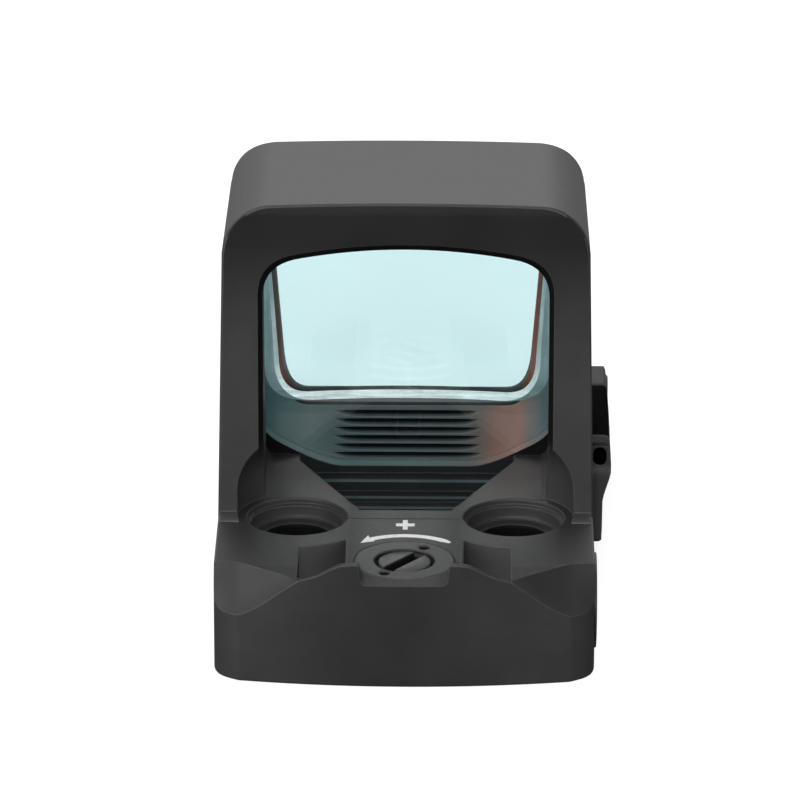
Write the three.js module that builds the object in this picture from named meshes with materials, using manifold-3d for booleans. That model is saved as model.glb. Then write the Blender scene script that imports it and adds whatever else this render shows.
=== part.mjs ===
// Miniature open reflex sight: a machined base with a square hood, a coated
// doublet lens, a laterally and vertically adjustable emitter, a battery drawer
// on the right side and two brightness buttons on the left side.
//
// Units are millimetres. +X is the battery side, +Y points at the target, +Z is
// up. The origin lies on the underside plane, midway between the axes of the two
// mounting-screw wells.
import * as THREE from 'three';
import { mergeVertices } from 'three/addons/utils/BufferGeometryUtils.js';
import Module from 'manifold-3d';

const wasm = await Module();
wasm.setup();

// ---- driving dimensions -------------------------------------------------
const HALF_W = 12.9;        // half width of the base
const DECK = 7.4;           // height of the rear deck
const REAR = -12.5;         // rear face on the centre line
const REAR_R = 48;          // plan radius of the rear face
const FRONT = 32.4;         // front end of the base
const FRONT_R = 2.6;        // plan radius of the front corners
const ROOF = 29.9;          // roof height at its shoulders
const CROWN = 0.22;         // roof crown on the centre line
const HOOD_TOP_W = 12.49;   // hood half width at the roof
const HOOD_R = 3.3;         // outer corner radius of the hood

const WELL_X = 7.47;        // mounting-screw spacing, half
const WELL_R = 3.44;        // screw-head well
const WELL_SEAT = 5.95;     // height of the seat in the well
const HOLE_R = 1.85;        // clearance hole
const ARCH_R = 4.1;         // relief round the well in the hood's foot
const ARCH_Z = 9.2;         // height at which the relief starts to dome over
const POCKET_R = 5.45;      // side of the rear pockets, round the well axis

const LENS_Y = 11.7;        // rear face of the lens
const LENS_T = 1.0;         // one lens element
const BOND_Y = LENS_Y + LENS_T;
const BOND_T = 0.2;         // gap between the elements
const BOND_PLAY = 0.02;     // play on either face of the bond
const FRONT_LENS_Y = BOND_Y + BOND_T;
const SILL = 10.7;          // bottom edge of the front aperture
const COVER_Y = 12.95;      // rear face of the front cover, grooved against glare
const RAMP_END = 28.4;      // front end of the cover's ramp
const RAMP_FLOOR = 5.28;    // underside of the ramp

const ELEV_Y = -7.9;        // elevation adjuster axis
const ELEV_DISC_Z = 6.4;    // underside of the elevation retainer
const WIND_Y = -6.3;        // windage adjuster axis
const WIND_Z = 3.9;
const WIND_DISC_X = 11.9;   // inner face of the windage retainer
const WIND_SPRING_Y = -5.55;
const WIND_SPRING_Z = 3.8;
const DISC_R = 3.4;         // elevation retainer
const WDISC_R = 3.25;       // windage retainer
const DISC_PLAY = 0.03;     // radial play round either retainer
const SCREW_R = 1.8;        // adjuster screw head
const EMITTER_Z = 5.2;      // emitter axis

const CELL_R = 8.0;         // coin cell
const CELL_T = 3.2;
const CELL_X = 0.6;
const CELL_Y = 21.4;
const CELL_Z = 1.5;         // underside of the cell
const LOCK_Y = 28.6;        // battery drawer's lock screw
const LOCK_Z = 6.2;
const LOCK_R = 0.74;        // lock-screw hole

const BTN_R = 1.9;          // brightness buttons
const BTN_MINUS_Y = 17.7;
const BTN_PLUS_Y = 24.3;
const BTN_Z = 3.9;
const BTN_H = 1.3;          // button height, flange included
const SIGN_Z = 1.18;        // bottom of the sign sunk in a button

const PLATE_SCREWS = [[-3.2, -10.65], [3.2, -10.65], [-9.1, 6.2], [9.1, 6.2]]; // x, y

// ---- solids ---------------------------------------------------------------
// Closed manifold from a geometry: welded, free of empty triangles, facing out.
function solid(geometry) {
  geometry.deleteAttribute('normal');
  geometry.deleteAttribute('uv');
  const merged = mergeVertices(geometry, 1e-4);
  const position = merged.attributes.position;
  const index = merged.index.array;
  const corner = (i) => new THREE.Vector3().fromBufferAttribute(position, i);
  const triangles = [];
  let volume = 0;
  for (let i = 0; i < index.length; i += 3) {
    const [a, b, c] = index.slice(i, i + 3);
    if (a === b || b === c || a === c) continue;
    triangles.push(a, b, c);
    volume += corner(a).dot(corner(b).cross(corner(c)));
  }
  if (volume < 0) triangles.reverse();
  return new wasm.Manifold(new wasm.Mesh({
    numProp: 3,
    vertProperties: new Float32Array(position.array),
    triVerts: new Uint32Array(triangles),
  }));
}

const vectors = (points) => points.map(([a, b]) => new THREE.Vector2(a, b));

function shapeOf(outline, holes = []) {
  const shape = new THREE.Shape(vectors(outline));
  for (const hole of holes) shape.holes.push(new THREE.Path(vectors(hole)));
  return shape;
}

function extruded(outline, depth, holes) {
  return new THREE.ExtrudeGeometry(
    shapeOf(outline, holes), { depth, bevelEnabled: false, curveSegments: 1 });
}

// Outline in X-Y, swept along Z.
function alongZ(outline, zMin, zMax, holes) {
  return solid(extruded(outline, zMax - zMin, holes).translate(0, 0, zMin));
}

// Outline in X-Z, swept along Y.
function alongY(outline, yMin, yMax, holes) {
  const geometry = extruded(outline, yMax - yMin, holes);
  return solid(geometry.rotateX(Math.PI / 2).translate(0, yMax, 0));
}

// Outline in Y-Z, swept along X.
function alongX(outline, xMin, xMax, holes) {
  const turn = new THREE.Matrix4().makeBasis(
    new THREE.Vector3(0, 1, 0), new THREE.Vector3(0, 0, 1), new THREE.Vector3(1, 0, 0));
  return solid(extruded(outline, xMax - xMin, holes).applyMatrix4(turn).translate(xMin, 0, 0));
}

// Box from its [min, max] range on each axis.
function box(...ranges) {
  const size = ranges.map(([min, max]) => max - min);
  const middle = ranges.map(([min, max]) => (min + max) / 2);
  return solid(new THREE.BoxGeometry(...size).translate(...middle));
}

// Box centred on x = 0.
const boxMid = (halfX, yRange, zRange) => box([-halfX, halfX], yRange, zRange);

// Turned solid. profile is [radius, height] pairs; axis 'z' or 'x'.
function turned(profile, segments, axis = 'z', at = [0, 0, 0]) {
  const geometry = new THREE.LatheGeometry(vectors(profile), segments);
  if (axis === 'z') geometry.rotateX(Math.PI / 2);
  if (axis === 'x') geometry.rotateZ(-Math.PI / 2);
  return solid(geometry.translate(...at));
}

const rod = (radius, bottom, top, segments, axis, at) =>
  turned([[0, bottom], [radius, bottom], [radius, top], [0, top]], segments, axis, at);

function arc(centreX, centreY, radius, start, end, steps) {
  const points = [];
  for (let i = 0; i <= steps; i++) {
    const angle = (start + (end - start) * i / steps) * Math.PI / 180;
    points.push([centreX + radius * Math.cos(angle), centreY + radius * Math.sin(angle)]);
  }
  return points;
}

function roundRect(left, right, bottom, top, radius, steps) {
  return [
    ...arc(right - radius, bottom + radius, radius, -90, 0, steps),
    ...arc(right - radius, top - radius, radius, 0, 90, steps),
    ...arc(left + radius, top - radius, radius, 90, 180, steps),
    ...arc(left + radius, bottom + radius, radius, 180, 270, steps)];
}

const flipped = (points) => points.map(([x, y]) => [-x, y]).reverse();

// Whole outline from its +X half; points on the centre line are not repeated.
const full = (half) => [...half, ...flipped(half).filter(([x]) => Math.abs(x) > 1e-9)];

// Half outline moved outward, sideways and vertically from its own centre.
function grown(half, distance) {
  const heights = half.map(([, z]) => z);
  const low = Math.min(...heights);
  const high = Math.max(...heights);
  const middle = (low + high) / 2;
  const halfHeight = (high - low) / 2;
  const width = Math.max(...half.map(([x]) => x));
  return half.map(([x, z]) => [
    x * (width + distance) / width,
    middle + (z - middle) * (halfHeight + distance) / halfHeight]);
}

// Solid through a row of sections in Y-Z, one per rising x station. Sections
// have equal point counts and run clockwise with Y to the right and Z up.
function loft(stations) {
  const count = stations[0].outline.length;
  const positions = stations.flatMap(({ x, outline }) => outline.flatMap(([y, z]) => [x, y, z]));
  const triangles = [];
  for (let i = 0; i + 1 < stations.length; i++) {
    for (let j = 0; j < count; j++) {
      const here = i * count + j;
      const next = i * count + (j + 1) % count;
      triangles.push(here, here + count, next, next, here + count, next + count);
    }
  }
  const cap = (i) => THREE.ShapeUtils.triangulateShape(vectors(stations[i].outline), [])
    .flat().map((j) => i * count + j);
  triangles.push(...cap(0).reverse(), ...cap(stations.length - 1));
  const geometry = new THREE.BufferGeometry();
  geometry.setAttribute('position', new THREE.BufferAttribute(new Float32Array(positions), 3));
  geometry.setIndex(triangles);
  return solid(geometry);
}

const cut = (body, ...tools) => tools.reduce((rest, tool) => rest.subtract(tool), body);
const join = (body, ...others) => others.reduce((sum, other) => sum.add(other), body);

// A body together with its mirror image across x = 0.
const pair = (body) => join(body, body.mirror([1, 0, 0]));

// Cross-shaped recess on the Z axis.
const crossSlot = (halfLength, halfWidth, zRange) => join(
  boxMid(halfLength, [-halfWidth, halfWidth], zRange),
  boxMid(halfWidth, [-halfLength, halfLength], zRange));

// ---- outlines shared between pieces -----------------------------------------
// Half outlines, x and z. Bore that holds the rear lens and the front cover.
const LENS_HALF = [
  [0, 6.75], [5.0, 6.75], [6.2, 7.2], [7.3, 7.78], [8.5, 8.5], [9.65, 9.3], [10.3, 10.0],
  [10.6, 10.9], [10.6, 24.3], [10.35, 25.6], [9.6, 26.5], [8.3, 27.0], [4.2, 27.5], [0, 27.65]];
// Window tunnel behind the lens.
const OPEN_HALF = [
  [0, DECK], [9.3, DECK], [9.66, 7.6], [9.77, 8.1], [9.77, 23.3], [9.62, 24.5], [9.15, 25.45],
  [8.3, 26.08], [7.0, 26.47], [3.6, 26.95], [0, 27.1]];
const FRONT_LENS_HALF = [
  [0, 10.85], [7.4, 10.85], [8.8, 11.15], [9.7, 12.0], [10.02, 13.2], [10.1, 24.2],
  [9.85, 25.3], [9.1, 26.15], [8.0, 26.6], [4.2, 27.05], [0, 27.2]];
// Window through the front cover.
const APERTURE_HALF = [
  [0, SILL], [7.2, SILL + 0.05], [8.1, SILL + 0.4], [8.56, SILL + 1.2], [8.8, 13.4],
  [9.15, 17.9], [9.42, 22.0], [9.4, 24.2], [9.1, 25.2], [8.3, 25.85], [4.0, 26.35], [0, 26.5]];

// Height of the falling deck ahead of the hood.
const rampZ = (y) => 10.1 - 0.375 * (y - 16.9);

// Bottom plate in X-Y: narrow at the rear, wide at the front.
function plateOutline(grow) {
  const narrow = 4.9 + grow;
  const wide = 10.4 + grow;
  const rear = -11.6 - grow;
  const step = 2.4 - grow;
  const front = 12.0 + grow;
  return [
    [-narrow, rear], [narrow, rear], [narrow, step], [wide, step],
    [wide, front], [-wide, front], [-wide, step], [-narrow, step]];
}

const plateScrewHoles = (top) =>
  PLATE_SCREWS.map(([x, y]) => rod(0.62, 0, top, 12, 'z', [x, y, 0]));

// Y-Z outlines on the sides: seal seat and drawer neck (+X), button pocket (-X).
const seatOutline = (inset, radius) =>
  roundRect(12.6 + inset, 30.2 - inset, 0.62 + inset, 5.28 - inset, radius, 2);
const neckOutline = (grow) =>
  roundRect(13.3 - grow, 29.5 + grow, 1.25 - grow, 4.65 + grow, 0.4, 2);
const buttonOutline = (inset, steps) =>
  roundRect(13.9 + inset, 28.1 - inset, 1.3 + inset, 6.5 - inset, 2.4 - inset, steps);

const lockHole = (radius, xMin, xMax, segments) =>
  rod(radius, xMin, xMax, segments, 'x', [0, LOCK_Y, LOCK_Z]);

// ---- housing: outside -------------------------------------------------------
const rearY = (x) => REAR + x * x / (2 * REAR_R);
const REAR_STEP = 1.88;     // x spacing of points on the rear face
const REAR_EDGE = Array.from({ length: 13 }, (_, i) => {
  const x = (i - 6) * REAR_STEP;
  return [x, rearY(x)];
});
const REAR_CORNER = [[11.95, -11.0], [12.4, -10.66], [12.72, -10.1], [12.88, -9.3]]; // x, y

function baseOutline() {
  return [
    ...REAR_EDGE, ...REAR_CORNER,
    ...arc(HALF_W - FRONT_R, FRONT - FRONT_R, FRONT_R, 0, 90, 5),
    ...arc(-HALF_W + FRONT_R, FRONT - FRONT_R, FRONT_R, 90, 180, 5),
    ...flipped(REAR_CORNER)];
}

// Block along the rear edge, raised above the deck for the rear top surface.
function rearBlock() {
  const outline = [
    ...flipped(REAR_CORNER), ...REAR_EDGE, ...REAR_CORNER, [12.88, -7.4], [-12.88, -7.4]];
  return alongZ(outline, DECK - 1, DECK + 1.6);
}

// Rear top surface: sight hump in the middle, scooped corners outboard.
const HUMP_X = 4.2;         // half width of the hump's full section
const SCOOP_X = 7.1;        // where the scoops begin
const REAR_STATIONS = [
  0, HUMP_X, 5.0, 5.75, 6.4, SCOOP_X, 7.7, 8.3, 9.0, 9.7, 10.5, 11.2, 12.2, 12.8, 14.0];
// x, height of the wall's top.
const WALL_TOP = [
  [0, 8.75], [HUMP_X, 8.75], [5.0, 8.42], [5.75, 8.0], [6.4, 7.76], [SCOOP_X, 7.55]];
// x, y of the scoop's front edge on the deck.
const SCOOP_FRONT = [
  [SCOOP_X, -11.43], [8.0, -10.76], [9.0, -10.0], [10.0, -9.25], [11.1, -8.43],
  [12.0, -8.28], [14.0, -8.22]];
// x, height at which the scoop meets the rear face.
const SCOOP_REAR = [
  [SCOOP_X, 7.55], [8.3, 6.69], [9.7, 5.64], [10.5, 5.15], [11.2, 4.87],
  [12.2, 4.62], [12.8, 3.95], [14.0, 2.9]];

// Straight-line lookup in rows of [x, value].
function lookUp(rows, x) {
  const next = Math.max(1, rows.findIndex(([rowX]) => x <= rowX));
  const [startX, start] = rows[next - 1];
  const [endX, end] = rows[next];
  return start + (end - start) * (x - startX) / (endX - startX);
}

const partWay = (from, to, yShare, zShare, sag = 0) => [
  from[0] + (to[0] - from[0]) * yShare,
  from[1] + (to[1] - from[1]) * zShare - sag];

// Section of the cutter above a surface line that runs rearward from the deck.
const cutterSection = (line, slope) => {
  const [rearmostY, rearmostZ] = line[line.length - 1];
  return [
    [-7.0, 12], [-7.0, DECK], ...line,
    [-15, rearmostZ + slope * (-15 - rearmostY)], [-15, 12]];
};

function wallSection(x) {
  const blend = Math.max(0, (x - HUMP_X) / (SCOOP_X - HUMP_X));
  const front = [THREE.MathUtils.lerp(-10.05, -11.43, blend), DECK];
  const rear = [THREE.MathUtils.lerp(-11.9, -12.0, blend), lookUp(WALL_TOP, x)];
  const line = [front, partWay(front, rear, 0.4, 0.5), partWay(front, rear, 0.75, 0.85), rear];
  return cutterSection(line, 0);
}

function scoopSection(x) {
  const front = [lookUp(SCOOP_FRONT, x), DECK];
  const rear = [rearY(Math.min(x, 12.2)), lookUp(SCOOP_REAR, x)];
  const sag = Math.min(0.22, (x - SCOOP_X) * 0.12);
  const [upper, lower] = [0.33, 0.66].map((share) => partWay(front, rear, share, share, sag));
  const slope = (rear[1] - lower[1]) / (rear[0] - lower[0]);
  return cutterSection([front, upper, lower, rear], slope);
}

function rearTopCutter() {
  const stations = [...REAR_STATIONS.slice(1).map((x) => -x).reverse(), ...REAR_STATIONS];
  return loft(stations.map((x) => {
    const section = Math.abs(x) <= SCOOP_X ? wallSection : scoopSection;
    return { x, outline: section(Math.abs(x)) };
  }));
}

// Side view of the hood, y and z.
const HOOD_SIDE = [
  [-0.05, 6.7], [-0.05, DECK], [0.42, 29.45], [0.78, 30.3],
  [14.9, 30.3], [15.35, 29.5], [16.9, 9.6], [16.9, 6.7]];
function hood() {
  const shoulderZ = ROOF - HOOD_R;
  const shoulderX = HOOD_TOP_W - HOOD_R;
  const half = [
    [HALF_W + 0.01, 6.8], [HALF_W + 0.01, DECK], [HOOD_TOP_W + 0.06, shoulderZ],
    ...arc(shoulderX, shoulderZ, HOOD_R, 8, 86, 8),
    ...[6, 3, 0].map((x) => [x, ROOF + CROWN * (1 - (x / 9.2) ** 2)])];
  return alongY(full(half), -1, 18).intersect(alongX(HOOD_SIDE, -14, 14));
}

// Deck that falls away ahead of the hood.
function frontDeck() {
  return alongX([[14, 6], [14, 10.2], [16.9, 10.2], [21.4, DECK], [21.4, 6]], -HALF_W, HALF_W);
}

// Trough between the two shoulders of the front deck; it takes the cover's ramp.
function frontTrough() {
  const end = RAMP_END + 0.05;
  const outline = [
    [16.92, 14], [16.92, 5.2], [end, 5.2], [end, rampZ(end)], [33, rampZ(33)], [33, 14]];
  return alongX(outline, -9.6, 9.6);
}

// ---- housing: cutters ---------------------------------------------------------
// Rear sight notch over the elevation adjuster.
function sightNotch() {
  return alongY([[-2.45, DECK], [2.45, DECK], [2.66, 7.62], [3.0, 9.6], [-3.0, 9.6],
    [-2.66, 7.62]], -14, -9.2);
}

// Pockets between the screw wells and the rear wall.
function rearPockets() {
  const outline = [[4.0, -11.45], [7.2, -11.2]];
  for (const degrees of [-92.8, -100, -108, -116, -124, -129.5]) {
    const angle = degrees * Math.PI / 180;
    outline.push([WELL_X + POCKET_R * Math.cos(angle), POCKET_R * Math.sin(angle)]);
  }
  return pair(alongZ(outline, 4.9, 12));
}

// Screw wells with their clearance holes, and the arches in the hood's foot.
function screwWells() {
  const well = [
    [0, -1], [HOLE_R, -1], [HOLE_R, WELL_SEAT], [3.2, WELL_SEAT], [3.2, 6.95],
    [WELL_R, 7.08], [WELL_R, 8.0], [0, 8.0]];
  const arch = [[0, DECK], [ARCH_R, DECK], ...arc(0, ARCH_Z, ARCH_R, 0, 90, 5)];
  return [well, arch].map((profile) => pair(turned(profile, 32, 'z', [WELL_X, 0, 0])));
}

// Window tunnel, the lens bore open at the front, and a slot at the bore's foot.
function opticsBores() {
  return [
    alongY(full(OPEN_HALF), -2, LENS_Y + 0.1),
    alongY(full(grown(LENS_HALF, 0.06)), LENS_Y - 0.05, 20),
    boxMid(9.6, [15.9, 17.0], [6.7, 12])];
}

// Emitter recess: widens forward over a floor that steps up.
function emitterRecess() {
  const flare = alongZ([[-3.12, 1.3], [3.12, 1.3], [7.5, 10.7], [7.5, 11.66],
    [-7.5, 11.66], [-7.5, 10.7]], 3, 9);
  const steps = alongX([[0, 9], [0, 3.9], [7.6, 3.9], [7.6, 4.6], [9.2, 4.6], [9.2, 5.2],
    [10.4, 5.2], [10.4, 6.0], [12, 6.0], [12, 9]], -8, 8);
  return flare.intersect(steps);
}

// Stepped bores for the two adjusters, and the windage spring's hole.
function adjusterBores() {
  const elevR = DISC_R + DISC_PLAY;
  const windR = WDISC_R + DISC_PLAY;
  const elevation = [
    [0, 5.3], [1.68, 5.3], [1.68, 5.95], [2.65, 5.95], [2.65, ELEV_DISC_Z],
    [elevR, ELEV_DISC_Z], [elevR, 8.2], [0, 8.2]];
  const windage = [
    [0, 3.2], [0.68, 3.2], [0.68, 10.7], [1.65, 10.7], [1.65, 11.35], [2.55, 11.35],
    [2.55, WIND_DISC_X], [windR, WIND_DISC_X], [windR, 13.5], [0, 13.5]];
  return [
    turned(elevation, 32, 'z', [0, ELEV_Y, 0]),
    turned(windage, 32, 'x', [0, WIND_Y, WIND_Z]),
    rod(0.7, -6.2, -3.3, 16, 'x', [0, WIND_SPRING_Y, WIND_SPRING_Z])];
}

// Bore for the emitter window, wider at the front where the glass sits.
function emitterBore() {
  return turned([[0, -0.2], [1.0, -0.2], [1.0, 0], [1.32, 0], [1.32, 0.6], [0, 0.6]], 24)
    .rotate([-90, 0, 0]).translate([0, 0.95, EMITTER_Z]);
}

// Adjuster bay and electronics bay, open below, and the bottom plate's seat.
function undersideBays() {
  return [
    boxMid(3.5, [-9.6, 0.9], [-1, 5.4]),
    boxMid(2.8, [-2.5, 0.9], [5, 6.6]),
    boxMid(7.8, [4.2, 10.0], [-1, 2.4]),
    boxMid(3.5, [0.5, 4.5], [-1, 2.4]),
    // Passage forward to the battery bay.
    boxMid(2.0, [9.6, 13.3], [1.15, 2.1]),
    alongZ(plateOutline(0), -1, 0.8),
    alongZ(plateOutline(-0.3), -1, 1.08),
    ...plateScrewHoles(3.0)];
}

// Battery bay, its seal seat and lock-screw hole, and the button pocket opposite.
function sideBays() {
  return [
    box([-9.0, 13.5], [12.9, 29.9], [0.95, 4.9]),
    alongX(seatOutline(0, 0.8), 11.4, 13.5),
    lockHole(LOCK_R, 10.4, 13.5, 14),
    alongX(buttonOutline(0, 4), -14, -10.1)];
}

function housing() {
  const rear = cut(join(alongZ(baseOutline(), 0, DECK), rearBlock()), rearTopCutter());
  return cut(
    join(rear, hood(), frontDeck()),
    frontTrough(), sightNotch(), rearPockets(), ...screwWells(), ...opticsBores(),
    emitterRecess(), ...adjusterBores(), emitterBore(), ...undersideBays(), ...sideBays());
}

// ---- optics -----------------------------------------------------------------
const lensElement = (half, rearFace) => alongY(full(half), rearFace, rearFace + LENS_T);

function lensBond() {
  return alongY(full(FRONT_LENS_HALF), BOND_Y + BOND_PLAY, FRONT_LENS_Y - BOND_PLAY,
    [full(grown(FRONT_LENS_HALF, -0.35))]);
}

// Ramp of the front cover with eight grooves across its top.
function coverRamp() {
  const grooveDepth = 0.26;
  const outline = [
    [16.0, 6.85], [17.2, 6.85], [17.2, RAMP_FLOOR], [RAMP_END, RAMP_FLOOR],
    [RAMP_END, rampZ(RAMP_END)]];
  for (let i = 7; i >= 0; i--) {
    const y = 18.2 + i * 1.2;
    outline.push(
      [y + 0.55, rampZ(y + 0.55)], [y + 0.42, rampZ(y + 0.42) - grooveDepth],
      [y + 0.13, rampZ(y + 0.13) - grooveDepth], [y, rampZ(y)]);
  }
  outline.push([16.0, rampZ(16.0)]);
  return alongX(outline, -9.5, 9.5);
}

// Horizontal grooves in the cover's rear face, below its window.
function coverGrooves() {
  return Array.from({ length: 6 }, (_, i) => {
    const z = 6.98 + i * 0.635;
    const halfWidth = 5.08 - i * 0.1;
    return alongX([[12.8, z - 0.14], [13.35, z - 0.11], [13.35, z + 0.11], [12.8, z + 0.14]],
      -halfWidth, halfWidth);
  });
}

// Cover that closes the hood ahead of the lens. Its window narrows the light
// path, and its ramp falls away over the battery bay.
function frontCover() {
  // Side view: the front follows the hood's leaning front face, set back 0.1 mm.
  const side = [[12, 5], [16.8, 5], [16.8, 9.6], [15.25, 29.5], [12, 29.5]];
  const wall = alongY(full(LENS_HALF), COVER_Y, 16.85).intersect(alongX(side, -14, 14));
  return cut(
    join(wall, coverRamp()),
    alongY(full(APERTURE_HALF), 12, 18),
    alongY(full(grown(FRONT_LENS_HALF, 0.05)), 12, 14.0),
    ...coverGrooves());
}

// ---- adjusters ----------------------------------------------------------------
// Retainer ring with two blind spanner holes.
function adjusterDisc(radius, height) {
  const profile = [
    [1.86, 0], [radius, 0], [radius, height - 0.08], [radius - 0.08, height],
    [2.08, height], [2.08, height - 0.3], [1.86, height - 0.4], [1.86, 0]];
  const holes = [60, 240].map((degrees) => {
    const angle = degrees * Math.PI / 180;
    return rod(0.32, 0.35, 3, 12, 'z', [2.66 * Math.cos(angle), 2.66 * Math.sin(angle), 0]);
  });
  return cut(turned(profile, 32), ...holes);
}

// Slotted screw hanging down from z = 0: head, trapped flange, neck and shank.
// shank is its own [radius, height] profile from the tip up.
function adjusterScrew({ shank, neckBottom, flangeR, flangeTop, slotAngle }) {
  const neckR = 1.1;
  const flangeBottom = flangeTop - 0.23;
  const profile = [
    ...shank, [neckR, neckBottom], [neckR, flangeBottom], [flangeR, flangeBottom],
    [flangeR, flangeTop], [SCREW_R, flangeTop], [SCREW_R, -0.1], [SCREW_R - 0.1, 0], [0, 0]];
  const slot = boxMid(3, [-0.43, 0.43], [-0.75, 1]).rotate([0, 0, slotAngle]);
  return cut(turned(profile, 28), slot);
}

function elevationScrew() {
  return adjusterScrew({
    shank: [[0, -5.0], [0.62, -5.0], [0.86, -4.75], [0.86, -2.0]],
    neckBottom: -2.0, flangeR: 2.5, flangeTop: -1.02, slotAngle: 52.8,
  });
}

// The windage screw's thin shank passes under the rear pocket.
function windageScrew() {
  return adjusterScrew({
    shank: [[0, -10.0], [0.6, -10.0], [0.6, -2.2]],
    neckBottom: -2.2, flangeR: 2.45, flangeTop: -1.12, slotAngle: 35,
  });
}

// C-shaped spring ring, its gap towards +X of its own frame.
function clickSpring(outerR) {
  return alongZ([...arc(0, 0, outerR, 20, 340, 20), ...arc(0, 0, 1.75, 340, 20, 20)], 0, 0.12);
}

// O-ring of hexagonal section.
const oring = (majorR) => turned(arc(majorR, 0, 0.24, 0, 360, 6), 16);

// Coil spring of hexagonal wire, rising along +Z from the origin.
function coil({ majorR, wireR, turns, pitch, stepsPerTurn }) {
  const steps = turns * stepsPerTurn;
  const points = [];
  for (let i = 0; i <= steps; i++) {
    const angle = i / stepsPerTurn * 2 * Math.PI;
    points.push(new THREE.Vector3(
      majorR * Math.cos(angle), majorR * Math.sin(angle), pitch * i / stepsPerTurn));
  }
  return new THREE.ExtrudeGeometry(shapeOf(arc(0, 0, wireR, 0, 300, 5)), {
    steps,
    bevelEnabled: false,
    extrudePath: new THREE.CatmullRomCurve3(points),
    curveSegments: 1,
  });
}

function elevationSpring() {
  return solid(coil({ majorR: 1.35, wireR: 0.12, turns: 2, pitch: 0.24, stepsPerTurn: 10 }));
}

function windageSpring() {
  const spring = coil({ majorR: 0.45, wireR: 0.1, turns: 4, pitch: 0.72, stepsPerTurn: 8 });
  return solid(spring.rotateY(Math.PI / 2));
}

// Block on the elevation screw with two rails running forward and a cross strap.
function carriage() {
  const body = join(
    boxMid(2.6, [-9.35, -6.95], [2.0, 4.6]),
    pair(box([2.0, 2.6], [-7.2, -0.3], [2.0, 3.3])),
    boxMid(2.6, [-4.2, -3.4], [1.45, 2.05]),
    pair(box([2.0, 2.6], [-4.2, -3.4], [1.45, 2.6])));
  return cut(body, rod(0.93, 0, 6, 20, 'z', [0, ELEV_Y, 0]));
}

// Block between the rails, with a crossbar and an upright that holds the LED.
function emitterBlock() {
  const body = join(
    boxMid(1.6, [-6.2, -0.2], [2.35, 4.3]),
    boxMid(2.6, [-6.15, -4.95], [3.6, 4.3]),
    boxMid(1.6, [-2.1, -0.2], [4.2, 6.05]));
  return cut(body, boxMid(0.75, [-0.55, 0], [EMITTER_Z - 0.75, EMITTER_Z + 0.75]));
}

// ---- underside ------------------------------------------------------------------
function bottomPlate() {
  const seat = [[0, -1], [0.98, -1], [0.98, 0.36], [0.62, 0.42], [0.62, 1.5], [0, 1.5]];
  return cut(alongZ(plateOutline(-0.06), 0, 0.76),
    ...PLATE_SCREWS.map(([x, y]) => turned(seat, 16, 'z', [x, y, 0])));
}

function bottomGasket() {
  const inner = [
    [-3.55, -9.65], [3.55, -9.65], [3.55, 4.15], [7.85, 4.15],
    [7.85, 10.05], [-7.85, 10.05], [-7.85, 4.15], [-3.55, 4.15]];
  return cut(alongZ(plateOutline(-0.35), 0.8, 1.04, [inner]), ...plateScrewHoles(2));
}

function plateScrew() {
  const profile = [[0, 0.04], [0.9, 0.04], [0.9, 0.3], [0.55, 0.38], [0.55, 2.6], [0, 2.8]];
  return cut(turned(profile, 16), crossSlot(0.5, 0.1, [-1, 0.24]));
}

// ---- battery drawer -------------------------------------------------------------
// Outer flange, rounded off at its ends in side view.
function trayFlange() {
  const section = alongY([[12.96, 0.5], [13.45, 0.5], [13.9, 0.95], [13.9, 4.0], [14.5, 6.1],
    [14.62, 6.6], [14.62, 6.95], [14.47, 7.1], [12.96, 7.1]], 12.2, 30.5);
  const side = alongX([[12.2, 0.9], [12.6, 0.5], [29.5, 0.5], [30.5, 1.5], [30.5, 6.1],
    [29.5, 7.1], [13.0, 7.1], [12.2, 6.3]], 12, 15.5);
  return section.intersect(side);
}

function batteryTray() {
  const floor = 1.45;
  const drawer = cut(
    box([-8.6, 11.5], [13.0, 29.8], [1.05, 4.5]),
    rod(CELL_R + 0.1, floor, 6, 36, 'z', [CELL_X, CELL_Y, 0]),
    box([-9, -4.5], [17.4, 25.4], [floor, 6]),
    box([9.2, 11.0], [15, 28], [floor, 6]));
  const body = join(
    trayFlange(),
    alongX(seatOutline(0.15, 0.7), 12.35, 13.0),
    alongX(neckOutline(0), 11.2, 12.5),
    drawer);
  return cut(
    body,
    lockHole(LOCK_R, 12, 16, 14),
    lockHole(1.0, 13.75, 16, 18),
    // Finger notch at the rear end.
    box([13.2, 14.05], [11.8, 12.75], [5.7, 6.7]));
}

const batterySeal = () => alongX(seatOutline(0.08, 0.8), 11.6, 12.25, [neckOutline(0.03)]);

function battery() {
  const top = CELL_Z + CELL_T;
  return turned([
    [0, CELL_Z], [6.6, CELL_Z], [6.6, 1.62], [7.85, 1.66], [CELL_R, 1.85],
    [CELL_R, top - 0.15], [7.85, top], [0, top]], 36);
}

function trayScrew() {
  const profile = [
    [0, -3.3], [0.5, -3.3], [0.68, -3.1], [0.68, -0.75], [0.94, -0.75],
    [0.94, -0.08], [0.86, 0], [0, 0]];
  return cut(turned(profile, 18), crossSlot(0.6, 0.13, [-0.4, 1]));
}

// ---- buttons --------------------------------------------------------------------
function buttonBezel() {
  const holes = [BTN_MINUS_Y, BTN_PLUS_Y].map((y) => arc(y, BTN_Z, BTN_R + 0.08, 0, 345, 23));
  return alongX(buttonOutline(0.05, 4), -12.9, -12.2, holes);
}

// Flanged cap, cut on top by the given sign.
function button(sign) {
  const flangeR = BTN_R + 0.35;
  const profile = [
    [0, 0], [flangeR, 0], [flangeR, 0.28], [BTN_R, 0.28], [BTN_R, SIGN_Z],
    [BTN_R - 0.12, BTN_H], [0, BTN_H]];
  return cut(turned(profile, 24), sign);
}
const minusSign = () => boxMid(0.13, [-0.7, 0.7], [SIGN_Z, 2]);
const plusSign = () => crossSlot(0.7, 0.13, [SIGN_Z, 2]);

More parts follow.
